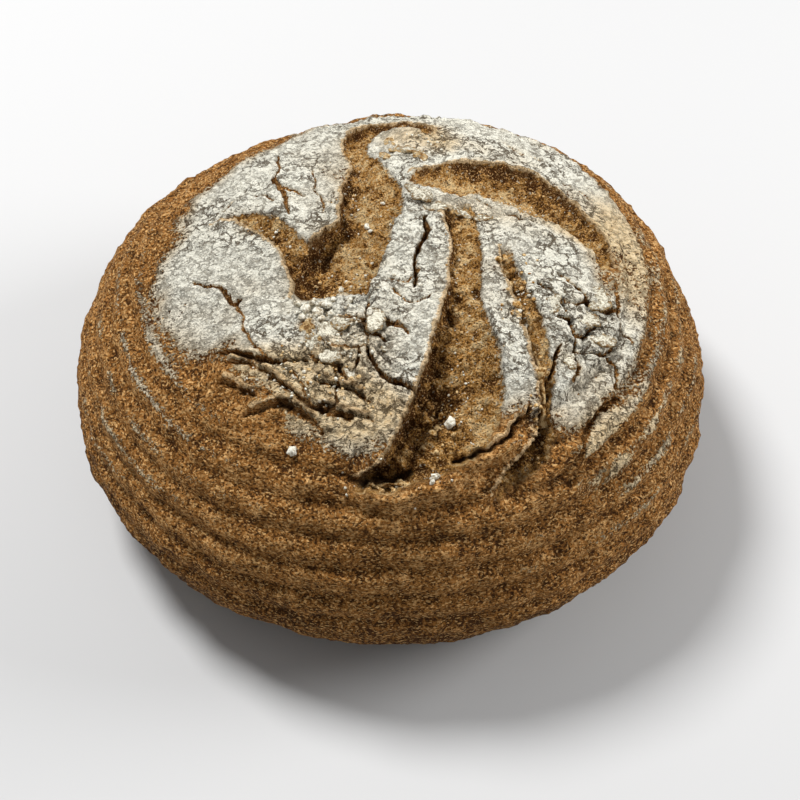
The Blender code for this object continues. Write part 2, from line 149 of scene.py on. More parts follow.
# cracks: depth, raise of the left bank, raise of the right bank, and (x, y, half width)
CRACKS = (
    # branching crack of the upper left plate
    (2.2, 0.5, 0.3, ((-45, 53, 0.5), (-44, 42, 1.2), (-44.5, 35, 2.2), (-42, 29, 2.2), (-40, 23, 1.6),
                     (-39, 17, 1.3), (-37.5, 12, 0.6))),
    (1.6, 0.3, 0.5, ((-41, 29, 1.6), (-36.5, 25, 1.2), (-32.5, 21, 0.6))),
    (1.8, 0.2, 0.8, ((-63, 21, 0.5), (-58, 25.3, 1.1), (-53, 26.2, 1.0), (-48.5, 24.8, 1.3), (-44, 21, 0.9))),
    (1.4, 0.3, 0.3, ((-31, 41, 0.4), (-30, 33, 0.9), (-29.5, 27, 0.5), (-27, 20, 0.6), (-25.5, 12, 0.4))),
    (1.0, 0.2, 0.2, ((-27, 20, 0.5), (-21, 14, 0.4))),
    # crack through the left lobe
    (2.6, 0.3, 0.9, ((-71, -15, 0.5), (-65.5, -16.5, 1.3), (-61, -19.5, 1.5), (-58, -24.5, 1.6),
                     (-56, -27.5, 1.6), (-53.5, -26, 0.6))),
    (1.6, 0.3, 0.3, ((-56, -27, 0.9), (-52.5, -32.5, 0.5), (-51.5, -36, 0.8), (-49.5, -40, 0.6),
                     (-47.5, -44.5, 1.1), (-44, -49, 1.2), (-37.5, -54, 0.8))),
    (4.2, 0.6, 1.2, ((-60, -45, 0.6), (-55, -47.2, 2.0), (-49, -49.8, 3.0), (-43, -51.8, 2.0),
                     (-37, -53.5, 0.8), (-29, -52.5, 0.5))),
    # shattered middle
    (4.0, 0.6, 0.4, ((-9, -49, 0.7), (-7, -54.5, 1.4), (-4.8, -58.5, 1.5), (-1.5, -61.3, 1.5),
                     (2.5, -63, 1.2), (6, -65.5, 0.5))),
    (2.6, 0.8, 0.3, ((-7, -33.5, 0.5), (-3.5, -37.5, 1.7), (0, -41, 1.9), (4.5, -44, 0.8))),
    (1.8, 0.8, 0.2, ((-11, -41, 0.6), (-5.5, -45, 1.4), (-2, -47.5, 0.6))),
    (1.4, 0.2, 0.2, ((-8, -28, 0.5), (-9.5, -35, 0.8), (-10, -42, 0.7), (-9, -49, 0.5))),
    (2.2, 0.3, 1.0, ((-19, -39.5, 0.6), (-15, -37.8, 1.4), (-10.5, -38, 1.2))),
    (1.8, 0.2, 0.8, ((-24, -46.5, 0.5), (-19, -49.3, 1.0), (-11, -49, 0.9))),
    (2.6, 0.4, 0.4, ((-11.5, -49, 0.8), (-12, -54.5, 0.9), (-13.5, -59, 0.5))),
    (2.4, 0.5, 0.5, ((-29, -42, 0.8), (-27.5, -50, 1.6), (-26, -53, 1.4), (-20, -56, 1.0),
                     (-15.5, -60, 0.6))),
    (1.8, 0.4, 0.4, ((-22, -50, 0.5), (-21, -56, 0.9), (-18, -62, 0.7))),
    (1.6, 0.4, 0.4, ((-1, -25, 0.4), (4, -30, 0.6), (8, -31, 0.5), (13, -29, 0.4))),
    # slit in the centre plate
    (3.6, 0.6, 0.2, ((11.5, 10, 0.6), (11.5, 3, 1.9), (9.5, -3, 1.9), (8, -9, 1.3), (7.6, -19, 1.1),
                     (6.5, -24, 0.5))),
    (1.6, 0.3, 0.3, ((7.5, -18, 0.6), (3, -21, 0.5), (-2, -20, 0.3))),
    # layered flakes, lower left of the middle
    (3.0, 0.1, 0.3, ((-41.5, -57.5, 0.5), (-38, -60.5, 1.2), (-33.5, -64.4, 1.5), (-28.5, -67.8, 1.5),
                     (-22, -70.5, 1.0), (-14, -72.5, 0.5))),
    (2.2, 0.1, 0.3, ((-50, -69, 0.5), (-44, -67.9, 1.2), (-38, -67.8, 2.0), (-32, -70, 2.0),
                     (-27, -72.4, 1.2), (-23, -76.4, 0.6))),
    (1.6, 0.1, 0.3, ((-60, -56, 0.5), (-54.5, -58.6, 1.0), (-49.5, -61.6, 1.0), (-44, -63.2, 0.5))),
    (1.5, 0.1, 0.3, ((-58, -51, 0.5), (-50, -52.2, 0.9), (-44.5, -54.4, 0.9), (-41, -57, 0.6))),
    (1.8, 0.1, 0.3, ((-27, -60, 0.5), (-20.5, -62.4, 1.0), (-14, -63.4, 1.0), (-8.5, -67, 0.5))),
    (1.5, 0.1, 0.3, ((-24, -68.4, 0.5), (-18, -70.9, 0.9), (-12, -71.4, 0.9), (-6.5, -75, 0.5))),
    (1.6, 0.2, 0.2, ((-34, -57, 0.4), (-30, -61, 0.9), (-29.5, -65, 0.6))),
    (1.6, 0.2, 0.2, ((-20, -63, 0.4), (-19, -68, 0.9), (-21, -72, 0.5))),
    # right plate
    (2.6, 0.4, 0.4, ((58, -12, 0.4), (62.5, -15, 0.9), (66, -19, 1.0), (67.5, -23, 0.8))),
    (4.0, 1.2, 0.2, ((66, -22.5, 0.8), (70, -24, 1.9), (74.5, -24.3, 1.9), (77.5, -22, 0.8))),
    (2.0, 0.4, 0.4, ((66, -23, 0.7), (60, -24.5, 0.6), (57, -22, 0.4))),
    (2.4, 0.4, 0.4, ((50, -17.5, 0.6), (54.5, -21, 1.1), (57, -24.5, 1.1), (59.5, -29, 0.6))),
    (2.8, 0.5, 0.5, ((56.5, -31.5, 0.6), (60, -31.5, 1.3), (61, -35, 1.2), (62, -38, 0.9), (62.5, -43, 0.7))),
    (2.2, 0.4, 0.4, ((62, -37.5, 0.8), (66, -35, 0.8), (70, -30.5, 0.8))),
    (2.6, 0.3, 0.5, ((57.5, -42, 0.6), (55.3, -48, 1.2), (53, -54, 0.8))),
    (2.4, 0.5, 0.5, ((79, -10, 0.5), (79, -21, 1.1), (79, -30, 1.0), (82, -34, 0.6))),
    (1.8, 0.4, 0.4, ((63, -43, 0.5), (68, -42.5, 0.8), (74, -40, 0.9), (77, -36, 0.5))),
    (1.8, 0.4, 0.4, ((74, -41, 0.6), (76, -47, 0.9), (75, -53, 0.5))),
    (2.0, 0.3, 0.3, ((62, -43, 0.6), (62.5, -49, 0.8), (60, -54, 0.5))),
    # grooves that run down from the right plate
    (2.6, 0.8, 1.1, ((77, -55, 0.6), (69.6, -62.5, 1.2), (65.2, -69.8, 1.6), (61.3, -76, 1.8),
                     (57.2, -81.8, 1.8), (52, -86.5, 1.8), (46.6, -90, 1.0))),
    (1.9, 1.0, 0.8, ((79.4, -62.5, 0.6), (75, -67.8, 1.2), (69.5, -73.2, 1.6), (62.3, -79.5, 1.6),
                     (57.5, -85.5, 0.8))),
    (1.5, 0.7, 0.8, ((81.8, -57.5, 0.6), (78.3, -64, 1.0), (76, -69.5, 1.0), (73, -75.5, 1.0),
                     (70.5, -80, 0.6))),
    # dark line under the back tear's flour strip
    (1.8, 0.6, 0.2, ((31, 22, 0.4), (38, 18, 0.9), (44, 15.5, 1.1), (50, 12.3, 0.6))),
    # inside the centre tear
    (1.8, 0.1, 0.5, ((18, -31, 0.5), (20.5, -36, 1.3), (22, -42, 0.6))),
    (3.6, 0.2, 0.4, ((-15, -90.5, 1.0), (-8, -92, 3.6), (0, -91, 4.2), (6, -88.5, 1.6))),
    # thin gap over the shelf
    (3.8, 0.2, 1.6, ((45, -66, 0.6), (41, -71, 1.2), (36.5, -76.5, 1.5), (30, -80.8, 1.7), (24.5, -83.6, 1.4),
                     (20, -86, 0.6))),
    (1.6, 0.2, 0.8, ((22, -95, 0.4), (32, -91, 0.8), (42, -84, 0.8), (47, -77, 0.4))),
    # far cracks over the back
    (1.2, 0.3, 0.3, ((40, 66, 0.4), (50, 60, 0.7), (60, 55, 0.4))),
    (1.2, 0.3, 0.3, ((60, 48, 0.4), (66, 40, 0.7), (74, 34, 0.4))),
    (1.0, 0.3, 0.3, ((-24, 78, 0.4), (-30, 70, 0.6), (-38, 66, 0.4))),
)

# crust ridges: height, reach of the left and the right bank, and (x, y); first the shelf under the
# centre tear and other rounded ones
RIDGES = (
    (4.0, 2.2, 3.6, ((42, -74), (36, -80), (28, -85), (20.5, -89.5), (10, -94), (0, -96.5), (-8, -95.5),
                     (-16, -92.5))),
    (1.0, 2.5, 2.5, ((2, 38), (10, 38.5), (19, 43.5), (31, 50.5))),
    (1.4, 3.0, 4.0, ((42, 8), (52, 7), (62, 4), (72, -2))),
    (1.2, 2.0, 3.0, ((39, -93), (48, -88), (55, -80), (60, -70))),
    # steps of the layered coat and of the band over the shelf, sharp on their outer side
    (2.4, 4.5, 0.6, ((46, -61.5), (41.5, -68), (36.5, -73.8), (30.5, -78.4), (24.5, -81), (18.5, -83.2))),
    (2.6, 5.5, 0.6, ((-58, -49.5), (-50, -50.8), (-43.5, -53), (-39, -58), (-33, -63), (-27, -66.5))),
    (2.8, 4.5, 0.6, ((-49, -67.6), (-44, -66.2), (-38, -66), (-32, -68), (-27, -70.5), (-23, -74.5))),
    (2.0, 3.5, 0.6, ((-59, -54.5), (-54, -57), (-49, -60), (-44, -61.6))),
    (1.8, 4.0, 0.6, ((-26, -58.5), (-20, -61), (-14, -62), (-8, -65.5))),
    (1.6, 3.5, 0.6, ((-24, -67), (-18, -69.5), (-12, -70), (-6, -73.5))),
    (1.8, 4.0, 0.6, ((-21, -36.5), (-15, -39), (-9, -39.5), (-4, -42))),
    (1.6, 3.5, 0.6, ((-26, -46), (-19, -50), (-12, -50), (-8, -47.5))),
)

# soft hollows: x, y, half length, half width, turn, depth
HOLLOWS = (
    (18, -69, 6, 4, 60, 2.6), (10, -79, 5, 3.5, 30, 1.8), (-1, -90, 7, 2.4, 8, 1.8),
    (-30, -23, 6, 5, 70, 1.8), (-23, 7, 4, 3, 40, 1.2), (-5, -12, 3, 2.4, 0, 1.2),
    (22, -33, 2.6, 5, 0, 1.2), (50, -71, 6, 2.6, 75, 2.8), (41, -89, 4.5, 2.2, 50, 2.8),
    (36, 31, 12, 5, 0, 0.8), (58, 20, 6, 4, -40, 0.8),
)

# edge of the flour: turn round the loaf in degrees and radius in plan
FLOUR_EDGE = (
    (-40, 95), (-33, 97), (-10, 96), (14, 97), (45, 96), (90, 96), (118, 88), (129, 80), (142, 80),
    (156, 82), (172, 82), (181, 87), (193, 91), (204, 94), (213, 90), (217, 81), (234, 84), (250, 83),
    (263, 86), (285, 84), (300, 84), (310, 88), (320, 95),
)
# sides of the loaf, as turn and reach in degrees: where the flour's edge is ragged, where flour stays on
# the ridges, and where it stays at the foot
RAGGED_LEFT = (215.0, 24.0)
RAGGED_RIGHT = (-28.0, 22.0)
STRIPED_LEFT = (205.0, 38.0)
STRIPED_BACK = (90.0, 90.0)
STRIPED_RIGHT = (330.0, 40.0)
FOOT_SIDE = (230.0, 40.0)
# patches of more or less flour: x, y, half length, half width, turn in degrees, amount
FLOUR_PATCHES = (
    (12, 68, 9, 5, 0, -0.5), (17, 58, 8, 6, -20, -0.35), (3, 53, 5, 4, 40, 0.25),
    (14, 33, 8, 4, 10, -0.3), (41, 20, 12, 4.0, -22, 0.6), (26, 24, 9, 3, -10, 0.35),
    (-52, 11, 12, 3, -20, 0.2), (-16, -31, 10, 4, 0, 0.45), (-38, -64, 16, 7, -20, -0.5),
    (-12, -72, 12, 6, -10, -0.12), (-16, -38, 5, 2.4, 10, -0.25), (-30, -39.5, 3.5, 3, 0, -0.5),
    (14, -77, 5, 3, 50, 0.4), (-8, -86, 9, 3, 15, -0.3), (-62, -55, 9, 5, -30, -0.15),
    (30, -48, 3, 14, 10, 0.16), (45, -36, 3, 12, -14, 0.2), (44, -14, 3, 8, 0, 0.2),
    (50, 5, 12, 3.0, -8, -0.15), (62, 9, 8, 4, -30, 0.3), (70, -22, 7, 2.5, 0, -0.2),
    (36, -72, 12, 4, 42, -0.5), (-4, 50, 6, 9, 10, 0.3), (1, 36, 6, 4, 0, 0.3),
    (24, 47, 10, 2.5, 30, 0.3), (22, 19, 6, 3, -40, 0.2), (8, -77, 7, 2.5, 40, 0.35),
    (86, 14, 12, 28, 8, -0.62), (66, 34, 9, 5, -50, -0.2), (-52, -2, 13, 9, -30, 0.16),
    (-62, -38, 16, 7, -50, -0.14), (78, -8, 5, 12, 10, -0.2), (60, -70, 7, 2.4, 47, 0.7),
    (69, -69.5, 12, 2.6, 53, 1.5), (72.5, -78, 12, 2.4, 42, 1.7), (74, -6, 9, 5, -50, -0.4),
    (86, -16, 6, 18, 10, -0.3),
)
# patches where the flour is warm and creamy: x, y, half length, half width, turn, amount
WARM_PATCHES = (
    (-34, -62, 26, 12, -20, 1.2), (-14, -50, 16, 12, -20, 0.5), (-8, -72, 14, 8, 10, 0.8),
    (70, -34, 15, 26, 10, 0.25), (66, -76, 22, 10, 48, 0.8), (66, 12, 16, 8, -40, 0.7),
    (84, 12, 12, 28, 10, 0.95), (34, 16, 24, 7, -10, 0.45), (8, 62, 16, 14, 0, 0.6),
    (30, 56, 26, 6, -10, 0.25), (0, -30, 14, 14, 0, 0.2),
)
# patches of browner or paler crust, and painted shade in the soft hollows and deep pockets: x, y, half
# length, half width, turn, amount (plus is darker)
TOAST_AND_SHADE_PATCHES = (
    (-36, -63, 22, 9, -20, -0.5), (33, -74.5, 13, 2.2, 38, -0.8), (0, -97, 15, 2.6, 4, -0.9),
    (27, -87, 12, 2.6, 32, -0.9), (31, -70, 9, 3.5, 55, -0.5), (18, -69, 7, 5, 60, 1.3),
    (-29, -20, 8, 13, 20, 1.1), (-26, -2, 4, 12, 20, 0.4), (2, -88, 14, 4, 8, 1.0),
    (16, -72, 5, 8, 0, 0.7), (-14, -4, 9, 16, 10, -0.75), (-10, 30, 8, 14, 0, -0.55),
    (40, 31, 26, 8, -8, -0.85), (-14, 56, 4, 12, 0, -0.25), (-4, 24, 5, 6, 0, 0.15),
    (24, -2, 6, 16, 0, -0.45), (24, -30, 7, 12, 0, -0.25), (28, -68, 8, 10, 10, -0.25),
    (48, -64, 4, 12, 0, 0.55), (45, -26, 4, 16, -14, 0.5), (-47, 9, 12, 5, -25, -0.35),
    (48.5, -74, 4, 8, -20, 1.5), (41, -86, 3.5, 3, 0, 0.6),
)
# zones where the coat has broken into small loose plates: x, y, half length, half width, turn
SHATTERED = (
    (-14, -52, 19, 22, -25), (66, -34, 15, 17, 20), (-40, -62, 16, 8, -20), (-14, -29, 12, 4, 0),
    (47, -66, 5, 22, 0),
)
PLATE_SIZE = 8.0

# loose lumps of flour and crumb: plan x, y, radius
FLOUR_LUMPS = (
    (-33.5, -81.5, 1.7), (13.5, -91, 1.6), (19, -70.5, 1.9), (-9.7, 7.5, 1.5), (-18.5, -23.5, 1.4),
    (-8.6, 5.2, 1.0), (12.6, -93.2, 1.1), (-33, -30.1, 1.5), (-30.2, -33.3, 1.8), (-28.2, -30.4, 1.3),
    (-26, -34.6, 1.9), (-23.4, -32.2, 1.5), (-31.2, -36.3, 1.2), (-24.6, -37.3, 1.6), (-20.9, -29.1, 1.3),
    (-15.3, -29.4, 1.1), (-28.6, -36, 1.1), (-21.5, -34.6, 1.2), (43.2, -26, 1.3), (41.1, -21.5, 1.1),
    (44.7, -34.5, 1.2), (42.2, -29.6, 0.9), (8.5, -24.0, 1.0), (-4.5, 18.5, 0.8),
)
CRUMB_LUMPS = (
    (37.7, -12.5, 3.0), (36.6, -10.4, 1.6), (40.3, -17.1, 1.5), (42, -30.7, 1.6), (44.0, -38, 1.3),
    (38.9, -6.8, 1.5), (47.5, -47, 1.2), (21, -30, 1.1), (25, -24, 0.9), (-16, -18, 1.3), (-26, -12, 1.1),
    (16, -66, 1.4), (13, -73, 1.5), (9, -77, 1.2),
)
# where small ones lie: plan x, y, half length, half width, turn, count, radius
FLOUR_CRUMBS = (
    (-25, -33, 12, 4, -10, 40, 0.75), (-12, -20, 10, 14, 0, 22, 0.5), (44, -28, 3, 16, -14, 26, 0.6),
    (24, -20, 6, 24, 0, 26, 0.4), (22, -60, 10, 18, 0, 30, 0.42), (40, 24, 22, 7, -10, 34, 0.45),
    (-45, 5, 14, 5, -30, 20, 0.5), (12, 55, 12, 10, 0, 26, 0.6), (-14, 20, 8, 22, 0, 24, 0.45),
    (0, -92, 16, 4, 0, 16, 0.45), (-30, -62, 20, 12, -20, 44, 0.6), (-14, -46, 14, 12, 0, 40, 0.6),
)
BROWN_CRUMBS = (
    (42, -24, 4, 20, -12, 34, 0.7), (-20, -20, 8, 12, 0, 34, 0.6), (20, -64, 9, 14, 0, 40, 0.6),
    (49, -66, 4, 16, 0, 26, 0.7), (34, 31, 22, 6, -5, 40, 0.6), (-44, 6, 12, 5, -30, 22, 0.6),
    (-10, 24, 9, 18, 0, 36, 0.55), (24, -8, 6, 16, 0, 26, 0.5), (-22, -60, 22, 8, -20, 40, 0.6),
)
# broken plates and shards: plan x, y, length, width, thickness, turn, tilt, flour on top
FLAKES = (
    (8, 21, 13, 5.0, 1.1, -42, 10, 0.9), (14.5, 15.2, 9, 4.6, 1.0, -38, 8, 0.9),
    (24.5, 14, 9, 3.4, 0.9, -18, 6, 0.8), (32, 11.2, 7, 3.0, 0.9, 0, 6, 0.8),
    (5.4, 50.5, 11, 5.0, 1.1, 54, 20, 0.75), (1, 49.5, 7, 3.4, 0.9, 42, 12, 0.6),
    (-2, 57, 6, 3.4, 0.9, 20, 10, 0.5), (9.5, 45, 5.5, 3.0, 0.8, 10, 12, 0.5),
    (-4, 46, 5, 3.0, 0.8, 70, 8, 0.5), (-16, -38.5, 11, 6.0, 1.1, 6, 16, 0.85),
    (-22, -43, 8, 7.0, 1.2, -20, 12, 0.95), (-27.5, -47.5, 7, 6.0, 1.1, -60, 12, 0.8),
    (-7, -40, 10, 6.0, 1.1, 30, 14, 0.95), (-21, -52, 9, 7.0, 1.2, -15, 10, 0.95),
    (-13.5, -57, 8, 6.0, 1.1, -65, 10, 0.95), (-3, -46, 9, 6.0, 1.1, -40, 12, 0.95),
    (-29.5, -40, 6, 4.5, 1.2, -70, 20, 0.1), (66.5, -30, 9, 6.5, 1.2, 40, 10, 0.95),
    (72, -37, 9, 6.0, 1.1, -10, 12, 0.9), (60, -47, 8, 6.0, 1.1, 80, 10, 0.95),
    (72, -20.5, 12, 7.0, 1.4, -4, 14, 0.9), (55, -27, 8, 6.0, 1.1, -60, 8, 0.95),
)
# strands across the pockets: start and end in plan, rise of the arch, radius
STRANDS = (
    (48.6, -54, 50.2, -67.5, 0.5, 1.3), (-7.6, -90.5, -4.0, -93.8, 0.7, 0.7),
    (-3.5, -89.2, 0.2, -93.8, 0.7, 0.7), (1.5, -88.6, 4.6, -92.4, 0.7, 0.8),
    (-5.5, -90.5, 3.0, -91.2, 0.7, 0.55), (47.5, -44.5, 50.8, -53, 0.6, 1.0),
    (14, -70, 20, -75, 0.7, 0.8), (9.5, -76, 14.5, -81, 0.7, 0.8),
)

# stage: the photo's camera, a plain floor and soft light; metres, degrees and watts
SENSOR_WIDTH = 36.0
LENS = 64.7
CAMERA_HEIGHT_ANGLE = 50.6
CAMERA_DISTANCE = 0.58
CAMERA_AIM = (0.00448, 0.00039, 0.0182)
NEAREST_SEEN = 0.01
FLOOR_HALF_WIDTH = 4.0
FLOOR_GREY = (0.62, 0.62, 0.62, 1.0)
ROOM_WHITE = (1.0, 1.0, 1.0, 1.0)
ROOM_STRENGTH = 0.27
LIGHT_AIM = (0.0, 0.0, 0.05)
# lights: name, place, diameter, power
LIGHTS = (("window", (-0.6, 0.5, 1.35), 0.5, 24.5), ("fill", (1.2, 0.15, 0.6), 0.7, 13.0))


def ramp(value, start, end):
    """Smooth step from 0 at start to 1 at end."""
    t = np.clip((value - start) / (end - start), 0.0, 1.0)
    return t * t * (3.0 - 2.0 * t)


def bell(value, middle, reach):
    """Soft bump of 1 at the middle, down to about a third at the reach."""
    return np.exp(-((value - middle) / reach) ** 2)


def turn_bell(degrees, middle, reach):
    """Soft bump round the loaf, alike on both sides of its middle turn."""
    return bell((degrees - middle + 180.0) % 360.0, 180.0, reach)


def side_curve():
    """Arc length, radius and height down the loaf's side, from the top to the base's rim."""
    turn = np.linspace(0.0, math.pi / 2.0, 1800)
    dome_r = LOAF_RADIUS * np.sin(turn) ** (2.0 / DOME_POWER)
    dome_z = WIDEST_HEIGHT + DOME_RISE * np.cos(turn)
    belly_r = BASE_RADIUS + (LOAF_RADIUS - BASE_RADIUS) * np.cos(turn) ** (2.0 / BELLY_POWER)
    belly_z = WIDEST_HEIGHT * (1.0 - np.sin(turn) ** (2.0 / BELLY_POWER))
    radius = np.concatenate([dome_r, belly_r[1:]])
    height = np.concatenate([dome_z, belly_z[1:]])
    steps = np.hypot(np.diff(radius), np.diff(height))
    return np.concatenate([[0.0], np.cumsum(steps)]), radius, height


ARC, ARC_RADIUS, ARC_HEIGHT = side_curve()
SIDE_LENGTH = float(ARC[-1])
WIDEST_ARC = float(ARC[ARC_RADIUS.argmax()])
TOP_ROWS = ARC <= WIDEST_ARC


def plan_wave(turn):
    """Share by which the outline stands off a circle at a turn round the loaf."""
    share = np.ones_like(turn)
    for count, size, phase in PLAN_WAVES:
        share += size * np.cos(count * (turn - math.radians(phase)))
    return share


def smooth_spine(points, per_span=7):
    """Points of a soft curve through the given points."""
    rows = np.array(points, float)
    ends = np.vstack([2 * rows[0] - rows[1], rows, 2 * rows[-1] - rows[-2]])
    out = []
    for i in range(1, len(ends) - 2):
        before, start, end, after = ends[i - 1:i + 3]
        for t in np.linspace(0.0, 1.0, per_span, endpoint=False):
            out.append(0.5 * (2 * start + (end - before) * t
                              + (2 * before - 5 * start + 4 * end - after) * t * t
                              + (3 * start - before - 3 * end + after) * t ** 3))
    out.append(rows[-1])
    return np.array(out)


def across_spine(x, y, spine):
    """Distance across a spine (left is plus), half width, share along, left side, and last column."""
    best = np.full(x.shape, 1e9)
    across, width, along, extra = (np.zeros(x.shape) for _ in range(4))
    left_x, left_y = np.zeros(x.shape), np.zeros(x.shape)
    spans = len(spine) - 1
    for i in range(spans):
        ax, ay, aw, *_ = spine[i]
        bx, by, bw, *_ = spine[i + 1]
        dx, dy = bx - ax, by - ay
        length = max(math.hypot(dx, dy), 1e-6)
        t = np.clip(((x - ax) * dx + (y - ay) * dy) / length ** 2, 0.0, 1.0)
        off_x, off_y = x - ax - t * dx, y - ay - t * dy
        away = np.hypot(off_x, off_y)
        nearer = away < best
        side = np.where(dx * off_y - dy * off_x >= 0.0, 1.0, -1.0)
        best = np.where(nearer, away, best)
        across = np.where(nearer, side * away, across)
        width = np.where(nearer, aw + t * (bw - aw), width)
        along = np.where(nearer, (i + t) / spans, along)
        extra = np.where(nearer, spine[i][-1] + t * (spine[i + 1][-1] - spine[i][-1]), extra)
        left_x = np.where(nearer, -dy / length, left_x)
        left_y = np.where(nearer, dx / length, left_y)
    return across, width, along, (left_x, left_y), extra


def near_spine(x, y, spine, reach):
    """Which plan points lie in the spine's box grown by the reach."""
    low, high = spine[:, :2].min(axis=0) - reach, spine[:, :2].max(axis=0) + reach
    return (x > low[0]) & (x < high[0]) & (y > low[1]) & (y < high[1])


TEAR_SPINES = {name: smooth_spine(tear[6]) for name, tear in TEARS.items()}
CRACK_SPINES = [smooth_spine(crack[3], 4) for crack in CRACKS]
RIDGE_SPINES = [smooth_spine([point + (1.0,) for point in ridge[3]], 6) for ridge in RIDGES]


def crust_noise(spots, size, shift=0.0):
    """Soft noise from about -1 to 1 with features of the given size at places on the crust."""
    return np.array([noise.noise((a / size, b / size, c / size + shift)) for a, b, c in spots])


def wander(x, y):
    """Plan points moved a little, so that lips and cracks run unevenly."""
    moved = np.zeros((len(x), 2))
    for length, seed, size in WANDER:
        waves = [noise.noise_vector((a / length, b / length, seed))[:2] for a, b in zip(x, y)]
        moved += size * np.array(waves)
    return x + moved[:, 0], y + moved[:, 1]


def patch_value(x, y, patches):
    """Sum of soft oval patches at plan points."""
    total = np.zeros(x.shape)
    for px, py, long, short, turn, amount in patches:
        c, s = math.cos(math.radians(turn)), math.sin(math.radians(turn))
        u = ((x - px) * c + (y - py) * s) / long
        v = (-(x - px) * s + (y - py) * c) / short
        total += amount * np.exp(-((u * u + v * v) ** 1.5) * 0.7)
    return total


def loop_arcs():
    """Arc length of every loop from the cap's edge to the base's rim, then the base's radii."""
    ringed = list(np.arange(CAP_ARC, RINGED_ARC, RING_LOOP_STEP))
    plain_count = int(round((SIDE_LENGTH - ringed[-1]) / PLAIN_LOOP_STEP))
    plain = list(np.linspace(ringed[-1], SIDE_LENGTH, plain_count + 1)[1:])
    base = [SIDE_LENGTH + BASE_RADIUS * (i + 1.0) / (BASE_LOOPS + 1.0) for i in range(BASE_LOOPS)]
    return ringed + plain + base


def cap_faces(mesh):
    """Faces of the flat blank that make up its cap."""
    return [face for face in mesh.faces if all(vert.co.z > CAP_FLOOR for vert in face.verts)]


def inner_edges(faces):
    """Edges that lie between two of the faces, sorted by place so that each run takes the same order."""
    inside = set(faces)
    edges = [edge for edge in {edge for face in faces for edge in face.edges}
             if all(face in inside for face in edge.link_faces)]
    edges.sort(key=lambda edge: (*edge.verts[0].co[:2], *edge.verts[1].co[:2]))
    return edges


def edge_target(x, y):
    """Edge length wanted at points of the flat blank: fine at lips, cracks and steps."""
    plan_x, plan_y = x + PLAN_AXIS[0], y + PLAN_AXIS[1]
    target = np.full(x.shape, OPEN_EDGE)
    for name, spine in TEAR_SPINES.items():
        across, half, _, _, _ = across_spine(plan_x, plan_y, spine[::3])
        past_lip = half - TEARS[name][0] * across
        gap = np.minimum(np.abs(past_lip - 0.6), np.abs(past_lip - 2.0 * half) * 1.4)
        target = np.minimum(target, LIP_EDGE + EDGE_GROWTH * np.maximum(gap - 1.2, 0.0))
        target = np.where((past_lip > 0.0) & (past_lip < 2.0 * half), np.minimum(target, TORN_EDGE), target)
    for spine in CRACK_SPINES:
        close = near_spine(plan_x, plan_y, spine, CRACK_EDGE_REACH)
        if close.any():
            across, half, _, _, _ = across_spine(plan_x[close], plan_y[close], spine[::2])
            gap = np.maximum(np.abs(across) - half - 0.8, 0.0)
            target[close] = np.minimum(target[close], CRACK_EDGE + EDGE_GROWTH * gap)
    for (_, _, outer_reach, _), spine in zip(RIDGES, RIDGE_SPINES):
        close = near_spine(plan_x, plan_y, spine, STEP_EDGE_REACH)
        if outer_reach < STEP_REACH and close.any():
            across, _, _, _, _ = across_spine(plan_x[close], plan_y[close], spine[::2])
            target[close] = np.minimum(target[close], LIP_EDGE + EDGE_GROWTH * np.abs(across))
    return target


def refine_cap(mesh):
    """Halve the cap's long edges until each is as short as its place asks for."""
    for _ in range(REFINE_PASSES):
        edges = inner_edges(cap_faces(mesh))
        ends = np.array([edge.verts[0].co[:2] + edge.verts[1].co[:2] for edge in edges])
        middles = (ends[:, :2] + ends[:, 2:]) / 2.0
        lengths = np.hypot(ends[:, 2] - ends[:, 0], ends[:, 3] - ends[:, 1])
        too_long = lengths > edge_target(middles[:, 0], middles[:, 1])
        if not too_long.any():
            break
        chosen = [edge for edge, is_long in zip(edges, too_long) if is_long]
        bmesh.ops.subdivide_edges(mesh, edges=chosen, cuts=1)
        faces = [face for face in cap_faces(mesh) if len(face.verts) > 3]
        bmesh.ops.triangulate(mesh, faces=faces)
        faces = cap_faces(mesh)
        bmesh.ops.beautify_fill(mesh, faces=faces, edges=inner_edges(faces))


def flat_blank():
    """Closed blank: a sphere whose rows become the loaf's loops and whose cap is filled afresh."""
    arcs = loop_arcs()
    rows = len(arcs) + 1
    mesh = bmesh.new()
    bmesh.ops.create_uvsphere(mesh, u_segments=SEGMENTS, v_segments=rows, radius=1.0)
    arc_layer = mesh.verts.layers.float.new("arc")
    turn_layer = mesh.verts.layers.float.new("turn")
    top = max(mesh.verts, key=lambda vert: vert.co.z)
    for vert in mesh.verts:
        if vert is top:
            continue
        row = int(round(math.acos(max(-1.0, vert.co.z)) / math.pi * rows))
        is_pole = row == rows
        vert[turn_layer] = 0.0 if is_pole else math.atan2(vert.co.y, vert.co.x)
        vert[arc_layer] = SIDE_LENGTH + BASE_RADIUS if is_pole else arcs[row - 1]
        reach = float(np.interp(vert[arc_layer], ARC, ARC_RADIUS))
        turn = vert[turn_layer]
        vert.co = Vector((reach * math.cos(turn), reach * math.sin(turn), 1.0 - row))
    rim = [edge for face in top.link_faces for edge in face.edges if top not in edge.verts]
    bmesh.ops.delete(mesh, geom=[top], context="VERTS")
    bmesh.ops.contextual_create(mesh, geom=rim)
    bmesh.ops.triangulate(mesh, faces=cap_faces(mesh))
    refine_cap(mesh)
    return mesh, arc_layer, turn_layer


